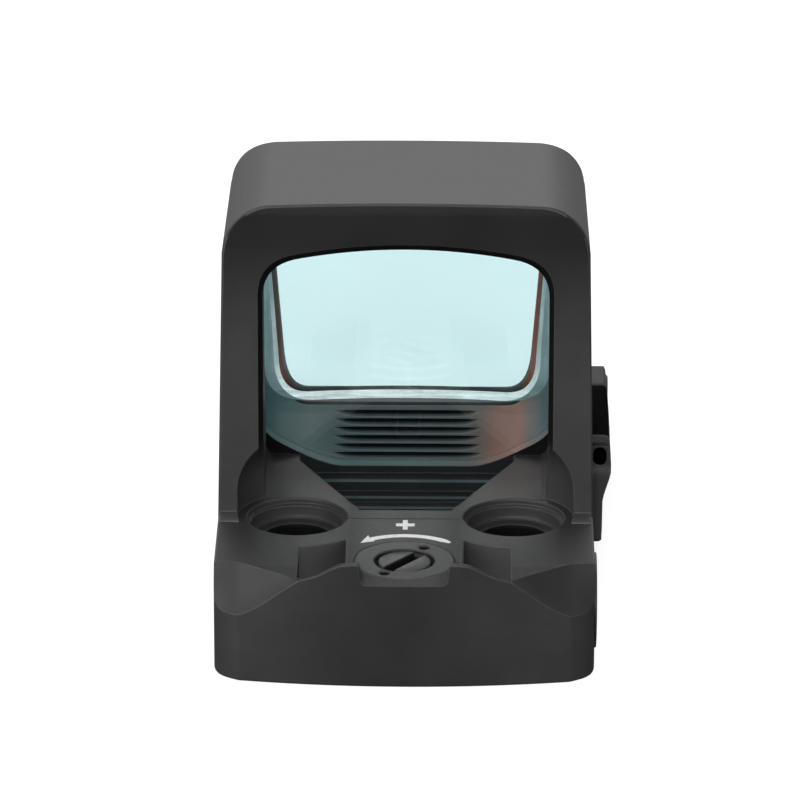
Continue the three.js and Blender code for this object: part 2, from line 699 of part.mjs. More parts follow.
const switchDome = () => turned([[0, 0], [1.25, 0], [0.9, 0.14], [0.45, 0.2], [0, 0.22]], 16);

// ---- materials --------------------------------------------------------------------
const finish = {
  housing: { color: 0x1b1c1e, roughness: 0.5, metalness: 0.6 },
  plate: { color: 0x1f2022, roughness: 0.55, metalness: 0.5 },
  glass: { color: 0xbfe6e8, roughness: 0.03, metalness: 0.0, transparent: true, opacity: 0.4 },
  bond: { color: 0x2a2d30, roughness: 0.4, metalness: 0.0 },
  steel: { color: 0x8d9094, roughness: 0.35, metalness: 1.0 },
  blackSteel: { color: 0x26272a, roughness: 0.42, metalness: 0.8 },
  brass: { color: 0xb08d4a, roughness: 0.35, metalness: 1.0 },
  rubber: { color: 0x18181a, roughness: 0.85, metalness: 0.0 },
  board: { color: 0x14532d, roughness: 0.5, metalness: 0.1 },
  chip: { color: 0x101011, roughness: 0.4, metalness: 0.0 },
  flex: { color: 0xb4691c, roughness: 0.45, metalness: 0.1 },
  led: { color: 0xd9392b, roughness: 0.3, metalness: 0.0 },
  cell: { color: 0xb9bcc0, roughness: 0.3, metalness: 1.0 },
};

// ---- assembly ---------------------------------------------------------------------
const group = new THREE.Group();
function place(name, look, body, position = [0, 0, 0], rotation = [0, 0, 0]) {
  const { vertProperties, triVerts } = body.getMesh();
  const geometry = new THREE.BufferGeometry();
  geometry.setAttribute('position',
    new THREE.BufferAttribute(new Float32Array(vertProperties), 3));
  geometry.setIndex(new THREE.BufferAttribute(new Uint32Array(triVerts), 1));
  geometry.computeVertexNormals();
  const mesh = new THREE.Mesh(geometry, new THREE.MeshStandardMaterial(finish[look]));
  mesh.name = name;
  mesh.position.set(...position);
  mesh.rotation.set(...rotation);
  group.add(mesh);
}

// Rotations that lay a part made along +Z.
const TO_RIGHT = [0, Math.PI / 2, 0];   // along +X
const TO_LEFT = [0, -Math.PI / 2, 0];   // along -X
const TO_REAR = [Math.PI / 2, 0, 0];    // along -Y

place('housing', 'housing', housing());
place('front_cover', 'housing', frontCover());
place('lens_rear', 'glass', lensElement(LENS_HALF, LENS_Y));
place('lens_bond', 'bond', lensBond());
place('lens_front', 'glass', lensElement(FRONT_LENS_HALF, FRONT_LENS_Y));

const onElevation = (z) => [0, ELEV_Y, z];
place('elevation_disc', 'housing', adjusterDisc(DISC_R, 1.0), onElevation(ELEV_DISC_Z));
place('elevation_screw', 'blackSteel', elevationScrew(), onElevation(7.36));
place('elevation_click_spring', 'steel', clickSpring(2.5), onElevation(5.96));
place('elevation_oring', 'rubber', oring(1.4), onElevation(5.68));
place('elevation_spring', 'steel', elevationSpring(), onElevation(1.12));
place('elevation_carriage', 'brass', carriage());

const onWindage = (x) => [x, WIND_Y, WIND_Z];
place('windage_disc', 'housing', adjusterDisc(WDISC_R, 1.15), onWindage(WIND_DISC_X), TO_RIGHT);
place('windage_screw', 'blackSteel', windageScrew(), onWindage(12.98), TO_RIGHT);
place('windage_click_spring', 'steel', clickSpring(2.45), onWindage(11.42), TO_RIGHT);
place('windage_oring', 'rubber', oring(1.38), onWindage(11.08), TO_RIGHT);
place('windage_spring', 'steel', windageSpring(), [-6.0, WIND_SPRING_Y, WIND_SPRING_Z]);

place('emitter_block', 'brass', emitterBlock());
place('emitter_led', 'led', boxMid(0.7, [-0.5, 0.12], [EMITTER_Z - 0.7, EMITTER_Z + 0.7]));
place('emitter_window', 'glass', rod(1.27, 0.05, 0.32, 20), [0, 1.3, EMITTER_Z], TO_REAR);
place('flex_cable', 'flex', join(
  boxMid(0.9, [-0.16, -0.04], [1.5, 4.3]),
  boxMid(0.9, [-0.16, 3.9], [1.5, 1.62])));
place('circuit_board', 'board', boxMid(7.5, [4.45, 9.75], [1.3, 1.75]));
place('controller_chip', 'chip', boxMid(1.6, [5.0, 8.2], [1.78, 2.3]));

place('bottom_plate', 'plate', bottomPlate());
place('bottom_gasket', 'rubber', bottomGasket());
PLATE_SCREWS.forEach(([x, y], i) => {
  place(`plate_screw_${i + 1}`, 'blackSteel', plateScrew(), [x, y, 0]);
});

place('battery_tray', 'housing', batteryTray());
place('battery_seal', 'rubber', batterySeal());
place('battery', 'cell', battery(), [CELL_X, CELL_Y, 0]);
place('tray_screw', 'blackSteel', trayScrew(), [14.52, LOCK_Y, LOCK_Z], TO_RIGHT);
place('contact_negative', 'steel', boxMid(1.2, [13.6, 20.4], [4.78, 4.88]));
place('contact_positive', 'steel', box([-8.95, -8.75], [19.4, 23.4], [2.0, 4.2]));

place('button_bezel', 'plate', buttonBezel());
place('button_minus', 'rubber', button(minusSign()), [-11.68, BTN_MINUS_Y, BTN_Z], TO_LEFT);
place('button_plus', 'rubber', button(plusSign()), [-11.68, BTN_PLUS_Y, BTN_Z], TO_LEFT);
place('button_pad', 'rubber', alongX(buttonOutline(0.2, 4), -11.18, -10.98));
place('switch_dome_minus', 'steel', switchDome(), [-10.72, BTN_MINUS_Y, BTN_Z], TO_LEFT);
place('switch_dome_plus', 'steel', switchDome(), [-10.72, BTN_PLUS_Y, BTN_Z], TO_LEFT);
place('button_board', 'board', alongX(buttonOutline(0.3, 3), -10.68, -10.28));

export default group;
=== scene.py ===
# Compact reflex sight: a deck with adjusters, a hood that holds a two-element lens, and a
# front ramp with a battery drawer on one side and two buttons on the other.
# x runs across it (drawer at +x, buttons at -x), y from the rear deck (-y) to the front
# ramp (+y) and z up, with the underside at z = 0. Shapes are in millimetres, scaled by MM
# when a mesh is made; lights and camera are placed in metres.
import math
from collections import namedtuple

import bmesh
import bpy
from mathutils import Matrix, Vector


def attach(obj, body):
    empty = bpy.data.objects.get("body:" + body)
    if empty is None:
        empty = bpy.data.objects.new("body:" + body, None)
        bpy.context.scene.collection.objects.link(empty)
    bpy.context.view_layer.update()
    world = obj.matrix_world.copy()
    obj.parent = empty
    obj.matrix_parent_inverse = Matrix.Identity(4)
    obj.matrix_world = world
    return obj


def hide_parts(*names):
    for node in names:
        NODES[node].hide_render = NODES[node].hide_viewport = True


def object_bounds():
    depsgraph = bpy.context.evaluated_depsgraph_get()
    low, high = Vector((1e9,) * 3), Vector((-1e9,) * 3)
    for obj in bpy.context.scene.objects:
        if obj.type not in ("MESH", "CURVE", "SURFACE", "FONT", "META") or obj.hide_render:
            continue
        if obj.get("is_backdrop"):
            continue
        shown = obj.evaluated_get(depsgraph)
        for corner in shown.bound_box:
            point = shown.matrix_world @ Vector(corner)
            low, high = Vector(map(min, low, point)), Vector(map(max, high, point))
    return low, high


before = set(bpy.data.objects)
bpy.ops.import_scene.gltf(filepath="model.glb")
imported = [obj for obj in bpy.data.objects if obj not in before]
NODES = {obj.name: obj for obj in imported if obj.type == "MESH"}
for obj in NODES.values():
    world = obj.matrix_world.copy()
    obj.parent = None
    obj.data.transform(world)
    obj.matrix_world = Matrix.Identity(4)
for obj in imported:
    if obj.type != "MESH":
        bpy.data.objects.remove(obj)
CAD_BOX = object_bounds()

MM = 0.001
SCENE = bpy.context.scene
COLLECTION = SCENE.collection

# ---------------------------------------------------------------- dimensions (mm)
# Base block
HALF_W = 12.9
DECK = 7.4              # height of the deck
REAR = -12.5            # rear face on the centre line
REAR_R = 64.0           # radius of the bowed rear face
FRONT = 32.4
FRONT_CORNER_R = 2.6

# Hood
ROOF = 29.83
CROWN = 0.16            # rise of the roof at its middle
HOOD_TOP_W = 12.47      # half width below the upper corners
HOOD_R = 3.35           # upper corner radius
HOOD_FRONT_Y = 16.9     # foot of the hood's front, where the ramp starts

# Round wells in the deck
WELL_X = 7.47
WELL_R = 3.44
WELL_SEAT = 5.95
HOLE_R = 2.3
ARCH_R = 4.1            # domed clearance above a well
ARCH_Z = 9.2            # centre height of that dome
POCKET_R = 5.45         # arc of the pocket behind a well

# Lens, cover and ramp
LENS_Y = 11.7
LENS_T = 1.0
LENS_GAP = 0.2
FRONT_LENS_Y = LENS_Y + LENS_T + LENS_GAP
LENS_SLOPE = 0.15       # fall of the front element's lower edge per mm of depth
SILL = 10.7
COVER_Y = 12.95
RAMP_END = 28.4
RAMP_HALF_W = 9.5

# Adjusters: elevation on the deck, windage on the +x side
ELEV_Y = -7.9
ELEV_SEAT = 6.4
ELEV_SCREW_TOP = 7.36
WIND_Y = -6.3
WIND_Z = 3.9
WIND_SEAT = 11.9
WIND_PROUD = 0.15
WIND_SCREW_TOP = 12.98
DISC_R = 3.4
WIND_DISC_R = 3.25
DISC_T = 1.0
DISC_GAP = 0.045
SCREW_R = 1.8

# Battery drawer
CELL_R = 8.0
CELL_X = 0.6
CELL_Y = 21.4
DRAWER_X = 12.96        # inner plane of the drawer's flange
FLANGE_T = 1.57
LOCK_Y = 28.6
LOCK_Z = 6.2

# Buttons
BUTTON_R = 1.9
BUTTON_Z = 3.9
BUTTON_MINUS_Y = 17.7
BUTTON_PLUS_Y = 24.3

# Centres (x, y) of the underside plate's screws
PLATE_SCREWS = [(-3.2, -10.65), (3.2, -10.65), (-9.1, 6.2), (9.1, 6.2)]


# ---------------------------------------------------------------- mesh helpers
def solid(points, faces):
    """Welded mesh object from points in mm, with its normals turned outwards."""
    mesh = bpy.data.meshes.new("tool")
    mesh.from_pydata([(x * MM, y * MM, z * MM) for x, y, z in points], [], faces)
    mesh.validate()
    piece = bpy.data.objects.new("tool", mesh)
    COLLECTION.objects.link(piece)
    bm = bmesh.new()
    bm.from_mesh(mesh)
    bmesh.ops.remove_doubles(bm, verts=bm.verts, dist=1e-7)
    bmesh.ops.dissolve_degenerate(bm, edges=bm.edges, dist=1e-8)
    bmesh.ops.recalc_face_normals(bm, faces=bm.faces)
    if bm.calc_volume(signed=True) < 0:
        bmesh.ops.reverse_faces(bm, faces=bm.faces)
    bm.to_mesh(mesh)
    bm.free()
    return piece


# How an outline point p at level h lies in space
LAY = {
    "XY": lambda p, h: (p[0], p[1], h),
    "XZ": lambda p, h: (p[0], h, p[1]),
    "YZ": lambda p, h: (h, p[0], p[1]),
}


def side_faces(levels, count):
    """Quads between successive rings of count points."""
    faces = []
    for level in range(levels - 1):
        low, high = level * count, (level + 1) * count
        for i in range(count):
            j = (i + 1) % count
            faces.append((low + i, low + j, high + j, high + i))
    return faces


def stack(levels, plane="XY"):
    """Solid through outlines of equal length, given as (level, outline)."""
    count = len(levels[0][1])
    points = [LAY[plane](p, h) for h, outline in levels for p in outline]
    top = (len(levels) - 1) * count
    caps = [tuple(range(count))[::-1], tuple(range(top, top + count))]
    return solid(points, caps + side_faces(len(levels), count))


def plan(outline, z0, z1):
    return stack([(z0, outline), (z1, outline)])


def across(outline, y0, y1):
    """Prism of an (x, z) outline along y."""
    return stack([(y0, outline), (y1, outline)], "XZ")


def along(outline, x0, x1):
    """Prism of a (y, z) outline along x."""
    return stack([(x0, outline), (x1, outline)], "YZ")


def box(x0, x1, y0, y1, z0, z1):
    return plan([(x0, y0), (x1, y0), (x1, y1), (x0, y1)], z0, z1)


def ring_loft(rings):
    """Solid between 3-D rings of equal length, each end closed by a fan."""
    count = len(rings[0])
    points = [p for ring in rings for p in ring]
    faces = side_faces(len(rings), count)
    for level, flip in ((0, True), (len(rings) - 1, False)):
        centre = len(points)
        points.append(tuple(sum(p[j] for p in rings[level]) / count for j in range(3)))
        for i in range(count):
            face = (level * count + i, level * count + (i + 1) % count, centre)
            faces.append(face[::-1] if flip else face)
    return solid(points, faces)


def turned(profile, segments, axis="z", at=(0, 0, 0)):
    """Solid of revolution of (radius, height) points; a profile may close on itself."""
    profile = list(profile)
    (r0, h0), (r1, h1) = profile[0], profile[-1]
    closed = abs(r0 - r1) < 1e-9 and abs(h0 - h1) < 1e-9
    if closed:
        profile = profile[:-1]
    points, faces, rows = [], [], []
    for r, h in profile:
        if r < 1e-9:
            rows.append([len(points)])
            points.append((0, 0, h))
        else:
            rows.append(list(range(len(points), len(points) + segments)))
            for i in range(segments):
                angle = 2 * math.pi * i / segments
                points.append((r * math.cos(angle), r * math.sin(angle), h))
    pairs = list(zip(rows, rows[1:]))
    if closed:
        pairs.append((rows[-1], rows[0]))
    for low, high in pairs:
        for i in range(segments):
            j = (i + 1) % segments
            if len(low) == 1:
                faces.append((low[0], high[j], high[i]))
            elif len(high) == 1:
                faces.append((low[i], low[j], high[0]))
            else:
                faces.append((low[i], low[j], high[j], high[i]))
    if axis == "x":
        points = [(z, y, -x) for x, y, z in points]
    elif axis == "y":
        points = [(x, z, -y) for x, y, z in points]
    return solid([(x + at[0], y + at[1], z + at[2]) for x, y, z in points], faces)


def rod(radius, h0, h1, segments, axis="z", at=(0, 0, 0)):
    return turned([(0, h0), (radius, h0), (radius, h1), (0, h1)], segments, axis, at)


def combine(base, operation, tools):
    """Applies one boolean per tool to base, bakes the result and removes the tools."""
    for i, tool in enumerate(tools):
        modifier = base.modifiers.new(f"b{i}", "BOOLEAN")
        modifier.operation = operation
        modifier.object = tool
        modifier.solver = "MANIFOLD"
    bpy.context.view_layer.update()
    depsgraph = bpy.context.evaluated_depsgraph_get()
    mesh = bpy.data.meshes.new_from_object(base.evaluated_get(depsgraph))
    old = base.data
    base.modifiers.clear()
    base.data = mesh
    bpy.data.meshes.remove(old)
    for tool in tools:
        data = tool.data
        bpy.data.objects.remove(tool)
        bpy.data.meshes.remove(data)
    return base


def cut(base, *tools):
    return combine(base, "DIFFERENCE", tools)


def join(base, *tools):
    return combine(base, "UNION", tools)


def meet(base, *tools):
    return combine(base, "INTERSECT", tools)


def place(piece, x, y, z, turn=0.0):
    """Turns a piece about y, then moves it to (x, y, z) mm."""
    move = Matrix.Translation((x * MM, y * MM, z * MM))
    piece.data.transform(move @ Matrix.Rotation(turn, 4, "Y"))
    return piece


def soften(piece, sharp_angle, bevel, segments):
    """Smooth shading with crisp edges; bevel rounds the sharp edges by that many mm."""
    mesh = piece.data
    bm = bmesh.new()
    bm.from_mesh(mesh)
    bmesh.ops.remove_doubles(bm, verts=bm.verts, dist=2e-6)
    bm.to_mesh(mesh)
    bm.free()
    for polygon in mesh.polygons:
        polygon.use_smooth = True
    if bevel > 0:
        edge = piece.modifiers.new("edge", "BEVEL")
        edge.width = bevel * MM
        edge.segments = segments
        edge.limit_method = "ANGLE"
        edge.angle_limit = math.radians(32)
        edge.use_clamp_overlap = True
        edge.miter_outer = "MITER_ARC"
        edge.harden_normals = False
    mesh.set_sharp_from_angle(angle=math.radians(sharp_angle))
    normals = piece.modifiers.new("normals", "WEIGHTED_NORMAL")
    normals.keep_sharp = True
    normals.weight = 60


# ---------------------------------------------------------------- outline helpers
def arc(cx, cy, radius, start, end, segments):
    """Points on an arc between two angles in degrees."""
    angles = [math.radians(start + (end - start) * i / segments) for i in range(segments + 1)]
    return [(cx + radius * math.cos(a), cy + radius * math.sin(a)) for a in angles]


def bezier(p0, p1, p2, p3, segments):
    """Points on a cubic curve, without its first one."""
    out = []
    for i in range(1, segments + 1):
        t = i / segments
        u = 1 - t
        out.append(tuple(u ** 3 * a + 3 * u * u * t * b + 3 * u * t * t * c + t ** 3 * d
                         for a, b, c, d in zip(p0, p1, p2, p3)))
    return out


def round_rect(a0, a1, b0, b1, r, n):
    return (arc(a1 - r, b0 + r, r, -90, 0, n) + arc(a1 - r, b1 - r, r, 0, 90, n)
            + arc(a0 + r, b1 - r, r, 90, 180, n) + arc(a0 + r, b0 + r, r, 180, 270, n))


def full(half):
    """Closed outline from its +x half."""
    return list(half) + [(-x, z) for x, z in reversed(half) if abs(x) > 1e-9]


def inset(outline, distance):
    """Convex counter-clockwise outline moved inwards."""
    out = []
    for i, (bx, by) in enumerate(outline):
        (ax, ay), (cx, cy) = outline[i - 1], outline[(i + 1) % len(outline)]
        l1, l2 = math.hypot(bx - ax, by - ay), math.hypot(cx - bx, cy - by)
        n1, n2 = (-(by - ay) / l1, (bx - ax) / l1), (-(cy - by) / l2, (cx - bx) / l2)
        k = 1 + n1[0] * n2[0] + n1[1] * n2[1]
        out.append((bx + distance * (n1[0] + n2[0]) / k, by + distance * (n1[1] + n2[1]) / k))
    return out


def grown(half, distance, up=1.0):
    """Half outline scaled outwards by distance, and by up times that in height."""
    heights = [z for _, z in half]
    middle = (min(heights) + max(heights)) / 2
    half_h = (max(heights) - min(heights)) / 2
    half_w = max(x for x, _ in half)
    return [(x * (half_w + distance) / half_w,
             middle + (z - middle) * (half_h + distance * up) / half_h) for x, z in half]


def bow(half, rise, reach=8.0):
    """Half outline whose flat bottom run is split in eight and arched up at the centre."""
    (_, bottom), (flat_x, _) = half[:2]
    points = half[:1] + [(flat_x * k / 8, bottom) for k in range(1, 8)] + half[1:]
    return [(x, z + rise * max(0.0, 1 - (x / reach) ** 2) if z < 13 else z) for x, z in points]


def lowered(half, drop, bottom=11.6, fade=3.5):
    """Half outline whose lower edge is dropped, fading out over the lower flanks."""
    return [(x, z - drop * max(0.0, 1 - max(0.0, z - bottom) / fade)) for x, z in half]


def interpolate(rows, x):
    """Straight-line table lookup."""
    for (x0, y0), (x1, y1) in zip(rows, rows[1:]):
        if x <= x1:
            return y0 + (y1 - y0) * max(0.0, x - x0) / (x1 - x0)
    return rows[-1][1]


def smooth_table(rows, x):
    """Table lookup on cubic curves whose slopes match at the rows."""
    if x <= rows[0][0]:
        return rows[0][1]
    for i in range(len(rows) - 1):
        x0, y0 = rows[i]
        x1, y1 = rows[i + 1]
        if x <= x1:
            h = x1 - x0
            m = (y1 - y0) / h
            m0 = m1 = m
            if i > 0:
                m0 = 0.5 * (m + (y0 - rows[i - 1][1]) / (x0 - rows[i - 1][0]))
            if i + 2 < len(rows):
                m1 = 0.5 * (m + (rows[i + 2][1] - y1) / (rows[i + 2][0] - x1))
            t = (x - x0) / h
            return ((2 * t ** 3 - 3 * t * t + 1) * y0 + (t ** 3 - 2 * t * t + t) * h * m0
                    + (-2 * t ** 3 + 3 * t * t) * y1 + (t ** 3 - t * t) * h * m1)
    return rows[-1][1]


def half_outline(start, *runs, crown):
    """Half outline (x, z) from the bottom centre to the top centre.

    A run is a point or a curve (control, control, end, segments); crown is the height of
    the arched top and its fall per square of x.
    """
    points = [start]
    for run in runs:
        if len(run) == 2:
            points.append(run)
        else:
            points += bezier(points[-1], *run)
    top, fall = crown
    arch_x = [points[-1][0] * (1 - i / 10) for i in range(1, 11)]
    return points + [(x, top - fall * x ** 2) for x in arch_x]


# ---------------------------------------------------------------- lens outlines
# Opening behind the lens
OPENING = half_outline(
    (0, DECK), (9.25, DECK),
    ((9.6, DECK), (9.77, 7.6), (9.77, 8.1), 5),
    (9.77, 23.1),
    ((9.77, 24.82), (8.85, 25.66), (7.2, 25.94), 10),
    crown=(26.61, 0.0129))
# Rear element and cover
LENS = half_outline(
    (0, 6.6), (4.6, 6.6),
    ((5.6, 6.66), (7.0, 7.25), (8.9, 8.28), 9),
    ((9.9, 8.85), (10.6, 9.7), (10.6, 11.0), 8),
    (10.6, 23.9),
    ((10.6, 25.75), (9.7, 26.75), (7.8, 27.06), 8),
    crown=(27.65, 0.0097))
# Front element from the outside in: flank, ground band, rim of the band, clear glass
FRONT_LENS = bow(half_outline(
    (0, 10.98), (6.6, 10.98),
    ((8.9, 11.0), (10.0, 11.7), (10.05, 13.6), 12),
    (10.1, 24.0),
    ((10.1, 25.5), (9.3, 26.4), (7.8, 26.62), 8),
    crown=(27.2, 0.0095)), 0.27)
BAND = bow(half_outline(
    (0, 11.0), (6.55, 11.0),
    ((8.3, 11.02), (9.3, 12.0), (9.38, 14.0), 12),
    ((9.45, 16.0), (9.75, 20.0), (9.95, 23.6), 6),
    ((9.93, 25.1), (9.2, 26.2), (7.75, 26.42), 8),
    crown=(27.0, 0.0095)), 0.28)
RIM = bow(lowered(half_outline(
    (0, 11.92), (7.0, 11.92),
    ((8.2, 11.95), (8.92, 12.5), (9.04, 14.0), 10),
    ((9.15, 16.0), (9.5, 20.0), (9.72, 23.6), 4),
    ((9.7, 24.9), (9.0, 25.9), (7.6, 26.15), 8),
    crown=(26.7, 0.0095)), 0.26, bottom=11.92, fade=3.0), 0.24)
CLEAR = bow(lowered(half_outline(
    (0, 11.97), (6.9, 11.97),
    ((8.1, 12.0), (8.66, 12.7), (8.76, 14.2), 10),
    ((8.87, 16.0), (9.2, 20.0), (9.42, 23.6), 4),
    ((9.4, 24.7), (8.8, 25.65), (7.5, 25.9), 8),
    crown=(26.45, 0.0098)), 0.26, bottom=11.97, fade=3.0), 0.24)
# Aperture through the cover
APERTURE = half_outline(
    (0, SILL), (7.0, SILL),
    ((8.0, SILL + 0.02), (8.55, SILL + 0.7), (8.74, 13.3), 8),
    ((8.95, 16.2), (9.3, 20.0), (9.44, 23.0), 4),
    ((9.5, 24.7), (9.0, 25.6), (7.6, 25.93), 8),
    crown=(26.5, 0.0099))

# ---------------------------------------------------------------- housing
# Distance from the centre line against the height of the wall behind the deck,
WALL_TOP = [(0, 8.75), (2, 8.75), (4.2, 8.75), (5.0, 8.42), (5.75, 8.0), (6.4, 7.76), (7.1, 7.55)]
# the y of each side scoop's foot on the deck,
SCOOP_FOOT_Y = [(7.1, -11.43), (8.0, -10.76), (9.0, -10.0), (10.0, -9.25), (11.1, -8.47),
                (12.0, -8.28), (14.0, -8.22)]
# and the height of the scoop at the rear face
SCOOP_REAR_Z = [(7.1, 7.55), (8.3, 6.69), (9.7, 5.64), (10.5, 5.15), (11.2, 4.84),
                (11.8, 4.66), (12.3, 4.45), (12.8, 3.95), (14.0, 2.9)]
# Height against y on the hood's leaning ends
HOOD_BACK = [(6.7, -0.05), (DECK, -0.05), (29.2, 0.40), (29.55, 0.46), (30.3, 0.62)]
HOOD_FRONT = [(6.7, HOOD_FRONT_Y), (9.6, HOOD_FRONT_Y), (27.6, 15.38), (29.0, 15.05),
              (30.3, 14.3)]
# Hood sections: end, offset in y, inset, roof drop, taper
HOOD_RINGS = [
    (HOOD_BACK, 0.0, 0.14, 0.14, 0.0), (HOOD_BACK, 0.05, 0.06, 0.055, 0.0),
    (HOOD_BACK, 0.14, 0.0, 0.0, 0.0), (HOOD_FRONT, -0.45, 0.0, 0.0, 0.013),
    (HOOD_FRONT, -0.2, 0.07, 0.08, 0.014), (HOOD_FRONT, 0.0, 0.28, 0.35, 0.015)]
# Height and inset of the base block's eased edges
BASE_LEVELS = [(0, 0.16), (0.02, 0.09), (0.06, 0.04), (0.12, 0.01), (0.18, 0),
               (DECK - 0.1, 0), (DECK - 0.04, 0.03), (DECK, 0.1)]
# (y, z) of the foot behind each lower corner of the hood
HOOD_FOOT = [(0.3, 7.0), (0.3, 7.76), (-0.04, 7.75), (-0.3, 7.735), (-0.6, 7.69),
             (-0.85, 7.61), (-1.05, 7.5), (-1.1, 7.44), (-1.1, 7.0)]
# (x, z) of the sight notch's half, its floor corners eased
NOTCH = [(2.56, DECK), (2.74, 7.44), (2.88, 7.56), (2.96, 7.78), (3.14, 9.6)]
# (radius, z) of a well
WELL_PROFILE = [
    (0, -1), (HOLE_R, -1), (HOLE_R, WELL_SEAT - 0.3), (HOLE_R + 0.05, WELL_SEAT - 0.16),
    (HOLE_R + 0.2, WELL_SEAT - 0.04), (HOLE_R + 0.36, WELL_SEAT), (2.78, WELL_SEAT + 0.01),
    (3.0, WELL_SEAT + 0.08), (3.14, WELL_SEAT + 0.22), (3.2, WELL_SEAT + 0.45), (3.2, 6.9),
    (WELL_R, 7.02), (WELL_R, 7.31), (WELL_R + 0.02, 7.35), (WELL_R + 0.1, 7.42),
    (WELL_R + 0.1, 8.0), (0, 8.0)]
# (x, y) of the stepped recess, at its depth and at its broken upper edge
RECESS = [(-3.12, 1.3), (3.12, 1.3), (7.5, 10.7), (7.5, 11.8), (-7.5, 11.8), (-7.5, 10.7)]
RECESS_TOP = [(-3.2, 1.2), (3.2, 1.2), (7.6, 10.68), (7.6, 11.8), (-7.6, 11.8), (-7.6, 10.68)]
# (y, z) of its stepped floor
RECESS_STEPS = [
    (0, 9), (0, 3.9), (8.15, 3.9), (8.2, 4.72), (8.3, 4.82), (9.15, 4.82), (9.2, 5.1),
    (9.32, 5.2), (10.35, 5.2), (10.4, 5.86), (10.54, 6.0), (12, 6.0), (12, 9)]
# (radius, height) of the stepped bores under the adjusters
ELEV_BORE = [
    (0, 5.3), (1.68, 5.3), (1.68, 5.95), (2.65, 5.95), (2.65, ELEV_SEAT),
    (DISC_R + DISC_GAP, ELEV_SEAT), (DISC_R + DISC_GAP, 8.2), (0, 8.2)]
WIND_BORE = [
    (0, 3.2), (0.68, 3.2), (0.68, 10.7), (1.65, 10.7), (1.65, 11.35), (2.55, 11.35),
    (2.55, WIND_SEAT), (WIND_DISC_R + DISC_GAP, WIND_SEAT), (WIND_DISC_R + DISC_GAP, 13.5),
    (0, 13.5)]


def rear_y(x):
    """y of the bowed rear face."""
    return REAR + x * x / (2 * REAR_R)


def ramp_z(y):
    """Height of the front ramp."""
    return 10.1 - 0.375 * (y - HOOD_FRONT_Y)


def base_outline():
    half = [(x * 0.4, rear_y(x * 0.4)) for x in range(0, 29)]
    half += bezier(half[-1], (12.15, -10.98), (12.9, -10.55), (12.9, -9.0), 10)
    half += arc(HALF_W - FRONT_CORNER_R, FRONT - FRONT_CORNER_R, FRONT_CORNER_R, 0, 90, 12)
    return full(half)


def plate_outline(margin):
    """T-shaped outline of the underside plate."""
    neck_x, wing_x, notch_y = 4.9 + margin, 10.4 + margin, 2.4 - margin
    rear, front = -11.6 - margin, 12.0 + margin
    return [(-neck_x, rear), (neck_x, rear), (neck_x, notch_y), (wing_x, notch_y),
            (wing_x, front), (-wing_x, front), (-wing_x, notch_y), (-neck_x, notch_y)]


def rear_top_cutter():
    """Space above the rear deck: a ramp up to the wall, and a hollow scoop at each side."""
    half = [0, 3.4, 4.2] + [4.2 + 0.29 * i for i in range(1, 11)]
    half += [7.1 + 0.23 * i for i in range(1, 25)] + [12.9, 13.4, 14.0]
    half = [round(x, 4) for x in half]
    stations = []
    for x in [-x for x in reversed(half[1:])] + half:
        u = abs(x)
        on_wall = u <= 7.1
        if on_wall:
            t = max(0.0, min(1.0, (u - 4.2) / 2.9))
            foot = (-10.05 * (1 - t) - 11.43 * t, DECK)
            crest = (-11.9 * (1 - t) - 12.0 * t, smooth_table(WALL_TOP, u))
        else:
            foot = (smooth_table(SCOOP_FOOT_Y, u), DECK)
            crest = (rear_y(min(u, 12.2)), smooth_table(SCOOP_REAR_Z, u))
            sag = min(0.26, (u - 7.1) * 0.14)
        between = []
        for q in (0.16, 0.33, 0.5, 0.67, 0.84):
            y = foot[0] + (crest[0] - foot[0]) * q
            if on_wall:
                # the ramp's foot and crest are eased
                z = foot[1] + (crest[1] - foot[1]) * (q * q * (3 - 2 * q))
            else:
                z = foot[1] + (crest[1] - foot[1]) * q - sag * 4 * q * (1 - q)
            between.append((y, z))
        slope = 0
        if not on_wall:
            slope = (crest[1] - between[-1][1]) / (crest[0] - between[-1][0])
        beyond = (-15, crest[1] + slope * (-15 - crest[0]))
        stations.append((x, [(-7.0, 12), (-7.0, DECK), foot, *between, crest, beyond, (-15, 12)]))
    return stack(stations, "YZ")


def hood_outline(inward, drop, taper):
    """Half (x, z) section of the hood, pulled inwards and with its roof dropped."""
    width = HOOD_TOP_W - inward
    corner_z = ROOF - drop - HOOD_R
    wall_x = HALF_W + 0.01 - inward
    half = [(wall_x, 6.8), (wall_x, DECK), (width + 0.06, corner_z)]
    half += arc(width - HOOD_R, corner_z, HOOD_R, 6, 87, 20)
    half += [(x, ROOF - drop + CROWN * (1 - (x / 9.2) ** 2)) for x in (7.5, 6, 4.5, 3, 1.5, 0)]
    return [(x * (1 - taper * max(0.0, z - DECK) / 22.5), z) for x, z in half]


def hood_solid():
    """Hood whose two end faces are closed by level strips from side to side."""
    points, rings = [], []
    for end, offset, inward, drop, taper in HOOD_RINGS:
        half = hood_outline(inward, drop, taper)
        right = [(x, interpolate(end, z) + offset, z) for x, z in half]
        start, count = len(points), len(right)
        points += right + [(-x, y, z) for x, y, z in right[:-1]]
        # both sides share the last point, on the centre line
        middle = start + count - 1
        rings.append((list(range(start, start + count)),
                      list(range(start + count, middle + count)) + [middle]))
    faces = []
    for (right0, left0), (right1, left1) in zip(rings, rings[1:]):
        for i in range(count - 1):
            faces.append((right0[i], right0[i + 1], right1[i + 1], right1[i]))
            faces.append((left0[i], left1[i], left1[i + 1], left0[i + 1]))
        faces.append((right0[0], right1[0], left1[0], left0[0]))
    for (right, left), flip in ((rings[0], False), (rings[-1], True)):
        for i in range(count - 1):
            face = (right[i], right[i + 1], left[i + 1], left[i])
            if right[i + 1] == left[i + 1]:
                face = (right[i], right[i + 1], left[i])
            faces.append(face[::-1] if flip else face)
    return solid(points, faces)


